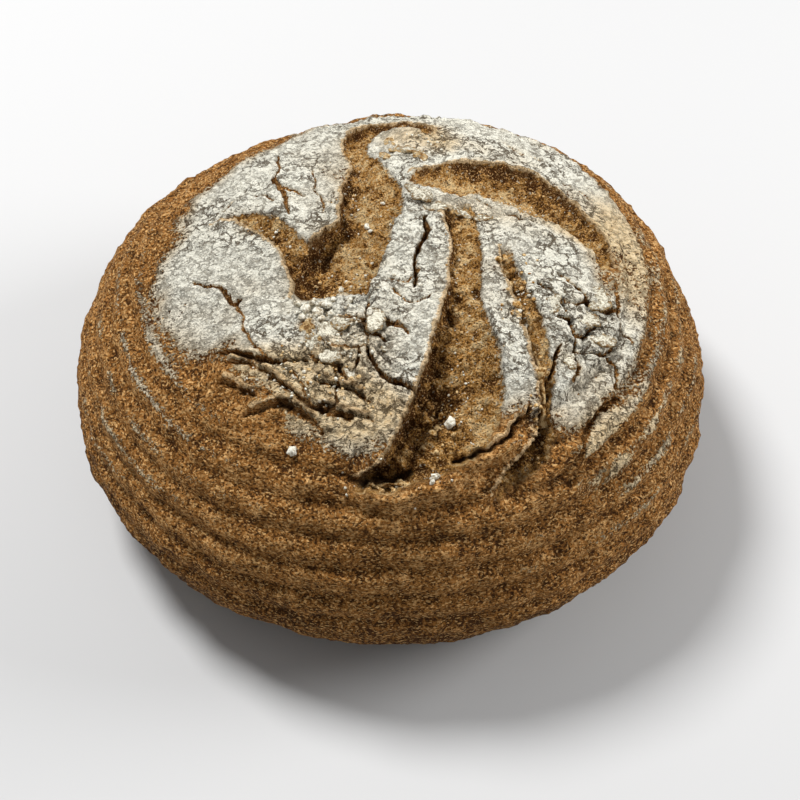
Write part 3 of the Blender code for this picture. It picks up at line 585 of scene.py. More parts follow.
def ring_relief(arc, turn):
    """Height of the basket's ridges and share by which a point lies on a ridge's crest."""
    turns, shifts = np.array(RING_SHIFT, float).T
    degrees = (np.degrees(turn) - turns[0]) % 360.0 + turns[0]
    phase = (arc - RING_START - np.interp(degrees, turns, shifts)) / RING_PITCH
    groove = (0.5 + 0.5 * np.cos(2.0 * math.pi * phase)) ** 2
    inward = RING_INWARD * turn_bell(degrees, RING_INWARD_TURN, RING_INWARD_REACH)
    strength = ramp(arc + inward, *RING_FADE_IN) * (1.0 - ramp(arc, *RING_FADE_OUT))
    crest = (0.5 - 0.5 * np.cos(2.0 * math.pi * (phase + 0.06))) ** 2
    return strength * (RING_LEVEL - groove), crest


def tear_relief(x, y):
    """Tears at plan points: floor, lip swell, share inside, nearness to the steep wall, distance from
    the lip's edge, and the lip's pull over the tear."""
    floor, lip, inside, wall_side = (np.zeros(x.shape) for _ in range(4))
    pull_x, pull_y = np.zeros(x.shape), np.zeros(x.shape)
    edge = np.full(x.shape, FAR)
    shares, depths = np.array(FLOOR_PROFILE).T
    for name, (steep, depth, lip_height, overhang, reach, wall_run, _) in TEARS.items():
        across, half, along, (left_x, left_y), share_of_depth = across_spine(x, y, TEAR_SPINES[name])
        past_lip, width = half - steep * across, 2.0 * half
        fade = ramp(along, 0.0, 0.1) * (1.0 - ramp(along, 0.92, 1.0))
        wall = np.clip(past_lip / wall_run, 0.0, 1.0) * depths[0]
        share = (past_lip - wall_run) / np.maximum(width - wall_run, 0.5)
        drop = np.where(share > 0.0, np.interp(share, shares, depths, right=0.0), wall)
        depth_here = depth * share_of_depth
        floor = np.minimum(floor, -depth_here * fade * drop)
        inside_here = fade * ramp(past_lip, -0.15, 0.45) * (1.0 - ramp(past_lip - width, -1.0, 0.3))
        wall_side = np.where(inside_here > inside, 1.0 - np.clip(past_lip / np.maximum(width, 0.5), 0.0, 1.0),
                             wall_side)
        inside = np.maximum(inside, inside_here)
        outside = np.maximum(-past_lip, 0.0)
        at_lip = fade * np.clip(0.25 + share_of_depth, 0.0, 1.0) * np.exp(-outside / reach)
        at_lip *= 1.0 - ramp(past_lip, 0.0, 0.5)
        lip = lip + lip_height * at_lip
        near_edge = at_lip * np.exp(-outside / 2.0)
        pull_x -= steep * left_x * overhang * near_edge
        pull_y -= steep * left_y * overhang * near_edge
        edge = np.where(fade > 0.1, np.minimum(edge, np.where(past_lip < 0.3, outside, FAR)), edge)
    return floor, lip * (1.0 - inside), inside, wall_side, edge, pull_x, pull_y


def crack_relief(x, y):
    """Depth of the cracks, rise of their banks, and distance to the nearest crack's edge."""
    drop, rise = np.zeros(x.shape), np.zeros(x.shape)
    gap = np.full(x.shape, GAP_LIMIT)
    for (depth, left_rise, right_rise, _), spine in zip(CRACKS, CRACK_SPINES):
        close = near_spine(x, y, spine, CRACK_REACH)
        across, half, along, _, _ = across_spine(x[close], y[close], spine)
        away = np.abs(across)
        half = half * CRACK_WIDTH
        drop[close] = np.maximum(drop[close], depth * (1.0 - ramp(away, 0.2 * half, half + 0.45)))
        gap[close] = np.minimum(gap[close], away - half)
        ends = ramp(along, 0.0, 0.12) * (1.0 - ramp(along, 0.88, 1.0))
        bank = np.exp(-np.maximum(away - half, 0.0) / BANK_REACH) * ends
        bank = BANK_SHARE * bank * np.where(across > 0.0, left_rise, right_rise)
        rise[close] = np.maximum(rise[close], bank)
    return drop, rise, gap


def ridge_relief(x, y):
    """Rise of the crust's ridges and steps at plan points, and how near a step's edge is."""
    rise, brink = np.zeros(x.shape), np.zeros(x.shape)
    for (height, left_reach, right_reach, _), spine in zip(RIDGES, RIDGE_SPINES):
        close = near_spine(x, y, spine, RIDGE_REACH)
        across, _, along, _, _ = across_spine(x[close], y[close], spine)
        reach = np.where(across > 0.0, left_reach, right_reach)
        ends = ramp(along, 0.0, 0.15) * (1.0 - ramp(along, 0.85, 1.0))
        rise[close] = np.maximum(rise[close], height * ends * bell(across, 0.0, reach))
        if right_reach < STEP_REACH:
            brink[close] = np.maximum(brink[close], ends * bell(across, 0.5, 1.1))
    return rise, brink


def plate_relief(x, y):
    """Height steps of the small loose plates, distance to their edges, and where they are."""
    zone = np.clip(patch_value(x, y, [spot + (1.6,) for spot in SHATTERED]) - 0.25, 0.0, 1.0)
    step, gap = np.zeros(x.shape), np.full(x.shape, GAP_LIMIT)
    for i in np.nonzero(zone > 0.02)[0]:
        far, spots = noise.voronoi((x[i] / PLATE_SIZE, y[i] / PLATE_SIZE * 1.25, 0.37))
        spot = spots[0]
        tilt = noise.cell_vector(spot * 7.31)
        away_x, away_y = x[i] / PLATE_SIZE - spot.x, y[i] / PLATE_SIZE * 1.25 - spot.y
        step[i] = 1.1 * (tilt.z - 0.4) + 2.6 * ((tilt.x - 0.5) * away_x + (tilt.y - 0.5) * away_y)
        edge_gap = (far[1] - far[0]) * PLATE_SIZE / 2.0
        gap[i] = edge_gap - 0.22 * zone[i] * (0.4 + tilt.y) + 0.6 * (1.0 - zone[i])
    return zone * step, gap, zone


def plain_places(flat, arc, turn):
    """The blank's points on the plain loaf: places, arc, turn, and direction outward and upward."""
    on_cap = flat[:, 2] > CAP_FLOOR
    turn = np.where(on_cap, np.arctan2(flat[:, 1], flat[:, 0]), turn)
    cap_arc = np.interp(np.hypot(flat[:, 0], flat[:, 1]), ARC_RADIUS[TOP_ROWS], ARC[TOP_ROWS])
    arc = np.where(on_cap, cap_arc, arc)
    base_share = np.clip((arc - SIDE_LENGTH) / BASE_RADIUS, 0.0, 1.0)
    radius = np.interp(arc, ARC, ARC_RADIUS) * (1.0 - base_share)
    height = np.interp(arc, ARC, ARC_HEIGHT)
    wave = plan_wave(turn)
    x, y = radius * wave * np.cos(turn), radius * wave * np.sin(turn)
    rise = np.interp(arc + 0.5, ARC, ARC_HEIGHT) - np.interp(arc - 0.5, ARC, ARC_HEIGHT)
    run = np.interp(arc + 0.5, ARC, ARC_RADIUS) - np.interp(arc - 0.5, ARC, ARC_RADIUS)
    size = np.maximum(np.hypot(rise, run), 1e-6)
    return (x, y, height), arc, turn, (-rise / size, run / size)


def flour_amount(plan_x, plan_y, arc, side_turn, right_side, crest, slow, lumps, inside, wall_side):
    """Share of flour: the coat inside its ragged edge, stripes on the ridges, the foot and patches."""
    limit_turns, limit_radii = np.array(FLOUR_EDGE, float).T
    plan_turn = (np.degrees(np.arctan2(plan_y, plan_x)) - limit_turns[0]) % 360.0 + limit_turns[0]
    limit = np.interp(plan_turn, limit_turns, limit_radii, period=360.0)
    plan_radius = np.hypot(plan_x, plan_y)
    ragged = bell(plan_turn, *RAGGED_LEFT) + 0.5 * bell(plan_turn, *RAGGED_RIGHT)
    coat = 1.0 - ramp(plan_radius - limit + 6.0 * lumps + 2.0 * slow, -9.0 - 14.0 * ragged, 9.0)
    coat *= 0.92 + 0.3 * slow + 0.14 * lumps
    left_side, back_side = bell(side_turn, *STRIPED_LEFT), bell(side_turn, *STRIPED_BACK)
    striped = 0.75 * left_side + 0.95 * right_side + 0.45 * back_side + 0.16
    striped *= ramp(arc + 18.0 * right_side, 80.0, 96.0) * (1.0 - ramp(arc, 124.0, 168.0))
    stripes = 0.62 * striped * crest * np.clip(0.75 + 0.7 * lumps + 0.7 * slow, 0.0, 1.0)
    foot = 0.5 * ramp(arc, 168.0, 186.0) * np.clip(0.5 + 1.5 * lumps + slow, 0.0, 1.0)
    foot *= 0.45 + 0.55 * bell(side_turn, *FOOT_SIDE)
    far_edge = inside * np.clip((0.22 - wall_side) / 0.22, 0.0, 1.0)
    flour = coat * (1.0 - inside) + stripes * (1.0 - coat) + foot + 0.55 * far_edge * coat
    patches = patch_value(plan_x, plan_y, FLOUR_PATCHES) * np.clip(1.4 - plan_radius / 100.0, 0.0, 1.0)
    return np.clip(flour + patches, 0.0, 1.0)


def crust_shape(flat, arc, turn):
    """Places of the crust's points in millimetres and the values that its material reads."""
    (x, y, height), arc, turn, (out_share, up_share) = plain_places(flat, arc, turn)
    above = 1.0 - ramp(arc, *BUMPS_END)
    on_top = 1.0 - ramp(arc, *TOP_END)
    side_turn = np.degrees(turn) % 360.0
    right_side = turn_bell(side_turn, *STRIPED_RIGHT)
    plan_x, plan_y = x + PLAN_AXIS[0], y + PLAN_AXIS[1]
    near_x, near_y = wander(plan_x, plan_y)

    floor, lip, inside, wall_side, edge, pull_x, pull_y = tear_relief(near_x, near_y)
    inside, floor, lip = inside * on_top, floor * on_top, lip * on_top
    crack, bank, crack_gap = crack_relief(near_x, near_y)
    crack, bank = crack * on_top, bank * on_top
    shelf, brink = ridge_relief(near_x, near_y)
    shelf, brink = shelf * on_top, brink * on_top
    step, plate_gap, loose = plate_relief(near_x, near_y)
    step = step * on_top * (1.0 - inside)
    plate_gap = np.where(inside > 0.2, GAP_LIMIT, plate_gap)
    plate_drop = (1.0 - ramp(plate_gap, -0.3, 0.5)) * loose * on_top
    drift = RING_DRIFT * crust_noise(zip(plan_x, plan_y, np.zeros(x.shape)), *RING_DRIFT_WAVES)
    rings, crest = ring_relief(arc + drift, turn)

    # noise is read at places on the crust itself, so that it runs evenly down the side
    spots = list(zip(x, y, height))
    slow, swell = crust_noise(spots, *SLOW_WAVES), crust_noise(spots, *SWELLS)
    lumps, pimples = crust_noise(spots, *LUMPS), crust_noise(spots, *PIMPLES)
    grains = crust_noise(spots, *GRAINS)
    strands = np.array([noise.ridged_multi_fractal((a / 7.0, b / 7.0, c / 7.0), 0.8, 2.1, 3, 0.9, 2.0)
                        for a, b, c in spots])

    flour = flour_amount(plan_x, plan_y, arc, side_turn, right_side, crest, slow, lumps, inside, wall_side)
    flour = flour * (1.0 - 0.9 * ramp(crack, 0.6, 1.6))
    flour = flour * (1.0 - 0.25 * np.exp(-edge / 4.0))

    torn_bumps = 0.9 * (strands - 1.0) + 1.7 * pimples + 0.8 * grains + 1.3 * lumps
    coat_bumps = (1.0 - 0.35 * loose) * (1.1 * pimples + 0.7 * lumps) + 0.6 * grains
    bare_bumps = 0.7 * pimples + 0.5 * grains + 0.5 * lumps
    bumps = inside * torn_bumps + (1.0 - inside) * (flour * coat_bumps + (1.0 - flour) * bare_bumps)
    relief = RING_DEPTH * (1.0 + 0.45 * right_side) * rings + 1.3 * slow + 1.3 * swell + 0.45 * lumps
    relief = above * relief * (1.0 - 0.7 * inside) + shelf + step + bank
    relief += above * bumps + floor + lip - crack - 0.9 * plate_drop
    relief -= patch_value(near_x, near_y, HOLLOWS) * on_top
    x = x + relief * out_share * np.cos(turn) + on_top * pull_x
    y = y + relief * out_share * np.sin(turn) + on_top * pull_y
    places = np.stack([x + PART_AXIS[0], y + PART_AXIS[1], height + relief * up_share], axis=1)

    # painted shade mask: deep cracks and the gaps between loose plates
    crack_shade = ramp(crack, 1.2, 3.6) + 0.75 * loose * ramp(-plate_gap, -0.6, 0.0)
    # browner and paler crust patches, with painted shade in the soft hollows and deep pockets and towards the
    # base
    toast_and_shade = patch_value(plan_x, plan_y, TOAST_AND_SHADE_PATCHES) * on_top + 1.9 * ramp(arc, 134.0, 190.0)
    values = {
        "flour": flour,
        "torn": inside,
        "gap": np.where(on_top > 0.5, np.minimum(crack_gap, plate_gap), GAP_LIMIT),
        "crack_shade": np.clip(crack_shade, 0.0, 1.0),
        # painted shade on the torn crumb by the tears' steep walls, under the lips
        "wall_shade": inside * ramp(wall_side, 0.6, 1.0),
        "rim": np.maximum(np.exp(-edge / 1.8) * (1.0 - ramp(inside, 0.5, 1.0)), 0.9 * brink),
        "bumps": bumps,
        "warm": patch_value(plan_x, plan_y, WARM_PATCHES) * on_top + 0.55 * ramp(arc, 98.0, 118.0),
        # painted shade in the grooves between the basket ridges
        "toast_and_shade": toast_and_shade - 0.8 * np.minimum(rings, 0.0),
    }
    return places, values


def crust_mesh():
    """The loaf's crust as one closed mesh with its values as attributes."""
    mesh, arc_layer, turn_layer = flat_blank()
    verts = list(mesh.verts)
    flat = np.array([vert.co[:] for vert in verts])
    arc = np.array([vert[arc_layer] for vert in verts])
    turn = np.array([vert[turn_layer] for vert in verts])
    places, values = crust_shape(flat, arc, turn)
    for vert, spot in zip(verts, places * MM):
        vert.co = spot
    for name in ("arc", "turn"):
        mesh.verts.layers.float.remove(mesh.verts.layers.float[name])
    bmesh.ops.triangulate(mesh, faces=mesh.faces[:])
    bmesh.ops.recalc_face_normals(mesh, faces=mesh.faces[:])
    data = bpy.data.meshes.new("crust")
    mesh.to_mesh(data)
    mesh.free()
    for name, numbers in values.items():
        data.attributes.new(name, "FLOAT", "POINT").data.foreach_set("value", numbers.astype(np.float32))
    data.shade_smooth()
    return data


def add_object(name, data):
    """Put mesh, light or camera data in the scene as an object at the origin."""
    thing = bpy.data.objects.new(name, data)
    bpy.context.scene.collection.objects.link(thing)
    return thing


def add_piece(name, data, material):
    """Put a finished mesh in the scene as a piece that rides with the loaf and replaces its solid."""
    piece = add_object(name, data)
    data.materials.append(material)
    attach(piece, "root")
    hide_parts("loaf")


def crust_tree(data):
    """Tree over the crust's faces, to set loose pieces on its surface."""
    points = [vert.co.copy() for vert in data.vertices]
    return BVHTree.FromPolygons(points, [tuple(face.vertices) for face in data.polygons])


def on_crust(tree, plan_x, plan_y):
    """Surface point under a plan point and the crust's direction there, in metres."""
    x, y = plan_x - PLAN_AXIS[0] + PART_AXIS[0], plan_y - PLAN_AXIS[1] + PART_AXIS[1]
    spot, normal, _, _ = tree.ray_cast(Vector((x, y, 200.0)) * MM, Vector((0.0, 0.0, -1.0)))
    return spot, normal


def add_lump(mesh, spot, normal, radius, seed, fineness=1):
    """One knobbly lump of the given radius in millimetres, sunk a little into the surface."""
    made = bmesh.ops.create_icosphere(mesh, subdivisions=fineness, radius=1.0)["verts"]
    lean = normal.to_track_quat("Z", "Y") @ Quaternion((0.0, 0.0, 1.0), seed * 2.4)
    across = 0.8 + 0.5 * noise.cell((seed, 1.5, 0.5))
    shift = Vector((seed * 3.7, 1.0, 2.0))
    for vert in made:
        bumpy = 1.0 + 0.55 * noise.noise(vert.co * 1.3 + shift)
        shape = Vector((vert.co.x, vert.co.y * across, vert.co.z * 0.75 + 0.35)) * bumpy
        vert.co = spot + lean @ shape * radius * MM


def add_flake(mesh, spot, lean, sizes, dust, seed):
    """One thin broken plate of the given length, width and thickness in millimetres."""
    powder = mesh.verts.layers.float["powder"]
    before = len(mesh.verts)
    bmesh.ops.create_cube(mesh, size=2.0)
    mesh.verts.ensure_lookup_table()
    edges = list({edge for vert in mesh.verts[before:] for edge in vert.link_edges})
    bmesh.ops.subdivide_edges(mesh, edges=edges, cuts=8, use_grid_fill=True)
    mesh.verts.ensure_lookup_table()
    long, wide, thick = (size / 2.0 for size in sizes)
    for vert in mesh.verts[before:]:
        x, y, z = vert.co
        flat = Vector((x * long, y * wide, seed * 9.0))
        ragged = 1.0 + 0.9 * noise.noise(flat * 0.22) + 0.45 * noise.noise(flat * 0.6)
        narrow = 1.0 - 0.55 * abs(x) ** 2.4
        rim = max(abs(x), abs(y))
        rise = z * thick * (1.0 - 0.4 * rim) + 0.9 * thick * noise.noise(flat * 0.35)
        vert[powder] = dust * (z + 1.0) / 2.0 * (1.25 - 0.5 * rim)
        shape = Vector((x * long * (0.9 + 0.1 * ragged), y * wide * ragged * narrow, rise))
        vert.co = spot + lean @ shape * MM


def add_strand(mesh, start, end, normal, arch, radius, seed):
    """One thin strand arched between two points, thicker where it joins."""
    before = len(mesh.verts)
    bmesh.ops.create_cone(mesh, cap_ends=True, segments=7, radius1=1.0, radius2=1.0, depth=1.0)
    mesh.verts.ensure_lookup_table()
    made = mesh.verts[before:]
    upright = [edge for edge in {edge for vert in made for edge in vert.link_edges}
               if abs(edge.verts[0].co.z - edge.verts[1].co.z) > 0.5]
    bmesh.ops.subdivide_edges(mesh, edges=upright, cuts=9)
    mesh.verts.ensure_lookup_table()
    along = (end - start).normalized()
    side = along.cross(normal).normalized()
    up = side.cross(along)
    for vert in mesh.verts[before:]:
        t = vert.co.z + 0.5
        wobble = noise.noise_vector((seed * 5.1, t * 2.2, 0.5)) * 0.5 * MM
        flare = radius * (0.75 + 1.5 * abs(2.0 * t - 1.0) ** 3) * MM
        flare *= 1.0 + 0.4 * noise.noise((vert.co.x * 1.5, vert.co.y * 1.5, t * 5.0 + seed))
        centre = start.lerp(end, t) + up * (arch * 4.0 * t * (1.0 - t) * MM) + wobble * math.sin(math.pi * t)
        vert.co = centre + (side * vert.co.x + up * vert.co.y * 0.8) * flare


def finished(mesh, name):
    """Mesh data from the bmesh, with its faces outward and smooth."""
    bmesh.ops.recalc_face_normals(mesh, faces=mesh.faces[:])
    data = bpy.data.meshes.new(name)
    mesh.to_mesh(data)
    mesh.free()
    data.shade_smooth()
    return data


def loose_lumps(tree, listed, patches, seed):
    """Lumps at the listed plan points, and smaller ones scattered over the patches."""
    mesh = bmesh.new()
    for i, (x, y, radius) in enumerate(listed):
        add_lump(mesh, *on_crust(tree, x, y), radius, seed + i * 0.77, 2)
    chance = random.Random(seed)
    for x, y, long, short, turn, count, radius in patches:
        c, s = math.cos(math.radians(turn)), math.sin(math.radians(turn))
        for _ in range(count):
            u, v = chance.gauss(0.0, 0.5) * long, chance.gauss(0.0, 0.5) * short
            spot, normal = on_crust(tree, x + u * c - v * s, y + u * s + v * c)
            add_lump(mesh, spot, normal, radius * (0.55 + 0.8 * chance.random()), chance.uniform(0.0, 50.0))
    return mesh


def flake_mesh(tree):
    """Broken crust plates and shards lying on the loaf."""
    mesh = bmesh.new()
    mesh.verts.layers.float.new("powder")
    for i, (x, y, long, wide, thick, turn, tilt, dust) in enumerate(FLAKES):
        spot, normal = on_crust(tree, x, y)
        normal = (normal + Vector((0.0, 0.0, 1.5))).normalized()
        lean = normal.to_track_quat("Z", "Y") @ Quaternion((0.0, 0.0, 1.0), math.radians(turn))
        lean = lean @ Quaternion((1.0, 0.0, 0.0), math.radians(-tilt))
        add_flake(mesh, spot + normal * (0.15 * MM), lean, (long, wide, thick), dust, i * 1.37 + 0.4)
    return mesh


def strand_mesh(tree):
    """Webs of dough left across the lower pockets."""
    mesh = bmesh.new()
    for i, (x0, y0, x1, y1, arch, radius) in enumerate(STRANDS):
        start, normal = on_crust(tree, x0, y0)
        end, _ = on_crust(tree, x1, y1)
        add_strand(mesh, start, end, normal, arch, radius, i * 0.9)
    return mesh


class Nodes:
    """Short way to write a material's nodes."""

    def __init__(self, name):
        self.material = bpy.data.materials.new(name)
        self.material.use_nodes = True
        self.tree = self.material.node_tree
        self.shader = self.tree.nodes["Principled BSDF"]

    def add(self, kind, links=None, **settings):
        node = self.tree.nodes.new(kind)
        for key, value in settings.items():
            setattr(node, key, value)
        for key, value in (links or {}).items():
            socket = node.inputs[key]
            if isinstance(value, bpy.types.NodeSocket):
                self.tree.links.new(value, socket)
            else:
                socket.default_value = value
        return node

    def place(self):
        return self.add("ShaderNodeTexCoord").outputs["Object"]

    def value(self, name):
        return self.add("ShaderNodeAttribute", attribute_name=name).outputs["Fac"]

    def noise(self, vector, scale, detail=2.0, roughness=0.5, distortion=0.0):
        links = {"Vector": vector, "Scale": scale, "Detail": detail, "Roughness": roughness,
                 "Distortion": distortion}
        return self.add("ShaderNodeTexNoise", links).outputs["Fac"]

    def cell_edges(self, vector, scale):
        return self.add("ShaderNodeTexVoronoi", {"Vector": vector, "Scale": scale},
                        feature="DISTANCE_TO_EDGE").outputs["Distance"]

    def times(self, first, second):
        return self.add("ShaderNodeMath", {0: first, 1: second}, operation="MULTIPLY").outputs[0]

    def times_plus(self, first, second, third):
        links = {0: first, 1: second, 2: third}
        return self.add("ShaderNodeMath", links, operation="MULTIPLY_ADD").outputs[0]

    def larger(self, first, second):
        return self.add("ShaderNodeMath", {0: first, 1: second}, operation="MAXIMUM").outputs[0]

    def vector(self, operation, first, second):
        node = self.add("ShaderNodeVectorMath", {0: first}, operation=operation)
        if operation == "SCALE":
            node.inputs["Scale"].default_value = second
        elif isinstance(second, bpy.types.NodeSocket):
            self.tree.links.new(second, node.inputs[1])
        else:
            node.inputs[1].default_value = second
        return node.outputs[0]

    def span(self, value, low, high, to_low=0.0, to_high=1.0, smooth=True):
        return self.add("ShaderNodeMapRange", {"Value": value, "From Min": low, "From Max": high,
                                               "To Min": to_low, "To Max": to_high},
                        interpolation_type="SMOOTHSTEP" if smooth else "LINEAR").outputs["Result"]

    def blend(self, share, first, second):
        """Mix of two colours by a share; a colour is a socket or three numbers."""
        first, second = (colour if isinstance(colour, bpy.types.NodeSocket) else colour + (1.0,)
                         for colour in (first, second))
        return self.add("ShaderNodeMix", {0: share, 6: first, 7: second}, data_type="RGBA").outputs[2]

    def finish(self, colour, height, strength, distance):
        """Join colour and bump to the shader, and make it matt."""
        bump = self.add("ShaderNodeBump", {"Height": height, "Strength": strength, "Distance": distance})
        self.tree.links.new(colour, self.shader.inputs["Base Color"])
        self.tree.links.new(bump.outputs["Normal"], self.shader.inputs["Normal"])
        self.shader.inputs["Roughness"].default_value = MATT_ROUGHNESS
        self.shader.inputs["Specular IOR Level"].default_value = FAINT_GLOSS
        return self.material


MATT_ROUGHNESS = 0.9
FAINT_GLOSS = 0.06
# crust and flour colours, linear
DARK_CRUST = (0.075, 0.029, 0.008)
MID_CRUST = (0.33, 0.143, 0.034)
PALE_CRUST = (0.66, 0.38, 0.15)
TORN_DARK = (0.1, 0.038, 0.008)
TORN_MID = (0.49, 0.242, 0.058)
TORN_PALE = (0.78, 0.56, 0.28)
# painted shade colour of deep cracks and the gaps between loose plates
CRACK_SHADE_BROWN = (0.035, 0.014, 0.005)
RIM_TAN = (0.84, 0.6, 0.33)
RIM_BROWN = (0.34, 0.19, 0.07)
FLECK_TAN = (0.78, 0.47, 0.19)
# dark pores, the crust's own specks deepened as painted shade in the pits
PORE_BROWN = (0.05, 0.02, 0.006)
FLAKE_BROWN = (0.2, 0.1, 0.032)
FLAKE_TAN = (0.52, 0.35, 0.16)
FLAKE_CREAM = (0.75, 0.64, 0.44)
FLAKE_FLOUR = (0.84, 0.79, 0.64)
STRAND_TAN = (0.36, 0.18, 0.05)
FLOUR_WHITE = (0.96, 0.93, 0.8)
FLOUR_DUSTY = (0.74, 0.6, 0.4)
FLOUR_CREAM = (0.62, 0.54, 0.4)
# painted shade between flour clumps and in the low spots of lumps and flakes; also the flour's dark specks
FLOUR_SHADE = (0.27, 0.22, 0.145)
# crust showing in the flour's slits, darkened as painted shade
SLIT_BROWN = (0.1, 0.068, 0.034)
FLOUR_WARM = (0.95, 0.77, 0.49)
FLOUR_TAN = (0.66, 0.44, 0.2)


def bare_crust(n, place, speck, grit, clump):
    """Colour of browned crust and torn crumb, with painted light and shade of their relief, and the share of
    small open pores.
    """
    torn = n.value("torn")
    cloud = n.span(n.noise(place, 90.0, 4.0, 0.6), 0.27, 0.73, smooth=False)
    # high spots are paler and low ones darker: painted light and shade of the bump relief, over the crust's
    # own mottle
    tone = n.times_plus(clump, 0.4, n.times(cloud, 0.3))
    tone = n.times_plus(speck, 0.5, n.times_plus(grit, 0.5, tone))
    tone = n.times_plus(n.value("bumps"), 0.16, tone)
    # browner and paler crust, with painted shade in hollows, ridge grooves and towards the base
    tone = n.times_plus(n.value("toast_and_shade"), -0.25, tone)
    # painted shade: the crumb darkens by the tears' steep walls, under the lips
    tone = n.times_plus(n.value("wall_shade"), -0.6, tone)
    crust_colour = n.blend(n.span(tone, 0.5, 0.86), DARK_CRUST, MID_CRUST)
    crust_colour = n.blend(n.span(tone, 0.86, 1.3), crust_colour, PALE_CRUST)
    torn_tone = n.times_plus(n.span(n.noise(place, 190.0, 5.0, 0.6, 0.3), 0.36, 0.64), 0.5, tone)
    crumb = n.blend(n.span(torn_tone, 0.62, 1.1), TORN_DARK, TORN_MID)
    crumb = n.blend(n.span(torn_tone, 1.0, 1.55), crumb, TORN_PALE)
    colour = n.blend(n.span(n.times_plus(grit, 0.25, torn), 0.35, 0.7), crust_colour, crumb)

    # pores and flecks run along the side, and lie evenly in the torn crumb
    streaked = n.vector("MULTIPLY", place, (0.5, 0.5, 1.25))
    streaked = n.add("ShaderNodeMix", {0: torn, 4: streaked, 5: place}, data_type="VECTOR").outputs[1]
    pore = n.span(n.noise(streaked, 1800.0, 1.0, 0.5), 0.37, 0.44, 1.0, 0.0)
    fleck = n.span(n.noise(streaked, 1650.0, 1.0, 0.5, 0.3), 0.58, 0.64)
    # pores are the crust's own dark specks, deepened as painted shade in the pits they sink into the bump
    colour = n.blend(n.times(pore, 0.85), colour, PORE_BROWN)
    colour = n.blend(n.times(fleck, 0.8), colour, FLECK_TAN)
    crumb_dot = n.span(n.noise(place, 760.0, 1.0, 0.5), 0.68, 0.72)
    return n.blend(n.times(n.times(crumb_dot, torn), 0.8), colour, FLOUR_CREAM), pore


def flour_coat(n, speck, grit, clump, smooth_coat, pepper):
    """Colour of the clumped flour, with painted shade in the gaps between its clumps, and the share of the
    crust that it covers.
    """
    flour = n.value("flour")
    # clumps with gaps between them, thinning out in specks where there is less flour; the gaps are darkened
    # as painted shade
    fluff = n.times_plus(grit, 0.35, n.times_plus(clump, 0.22, n.times(speck, 0.43)))
    fluff = n.times_plus(n.value("bumps"), 0.1, fluff)
    margin = n.times_plus(flour, 1.15, fluff)
    cover = n.span(margin, 1.01, 1.15)
    gap_shade = n.times(n.span(margin, 1.12, 1.21, 0.5, 0.0), n.span(smooth_coat, 0.0, 1.0, 1.0, 0.45))
    colour = n.blend(n.span(flour, 0.45, 0.92), FLOUR_DUSTY, FLOUR_WHITE)
    colour = n.blend(n.times(n.span(speck, 0.55, 1.0), 0.35), colour, FLOUR_CREAM)
    # painted shade in the gaps between the flour clumps
    colour = n.blend(n.times(gap_shade, n.span(flour, 0.5, 0.9)), colour, FLOUR_SHADE)
    colour = n.blend(n.times(pepper, 0.45), colour, FLOUR_SHADE)
    warm_share = n.span(n.value("warm"), 0.05, 0.95, 0.0, 0.9)
    return n.blend(warm_share, colour, n.blend(grit, FLOUR_TAN, FLOUR_WARM)), cover


def flour_slits(n, place, smooth_coat):
    """Share of the short ragged slits in the flour."""
    shift = n.add("ShaderNodeTexNoise", {"Vector": place, "Scale": 380.0, "Detail": 4.0,
                                         "Roughness": 0.7}).outputs["Color"]
    warped = n.vector("ADD", place, n.vector("SCALE", shift, 0.0055))
    warped = n.vector("MULTIPLY", warped, (0.65, 1.0, 1.0))
    slit = n.span(n.cell_edges(warped, 250.0), 0.03, 0.1, 1.0, 0.0)
    slit = n.times(slit, n.span(n.noise(place, 170.0, 3.0, 0.6), 0.46, 0.49))
    short = n.span(n.cell_edges(warped, 430.0), 0.03, 0.12, 1.0, 0.0)
    short = n.times(short, n.span(n.noise(place, 310.0, 3.0, 0.6), 0.48, 0.52))
    slit = n.larger(slit, n.times(short, 0.7))
    return n.times(slit, n.span(smooth_coat, 0.0, 1.0, 1.0, 0.6))


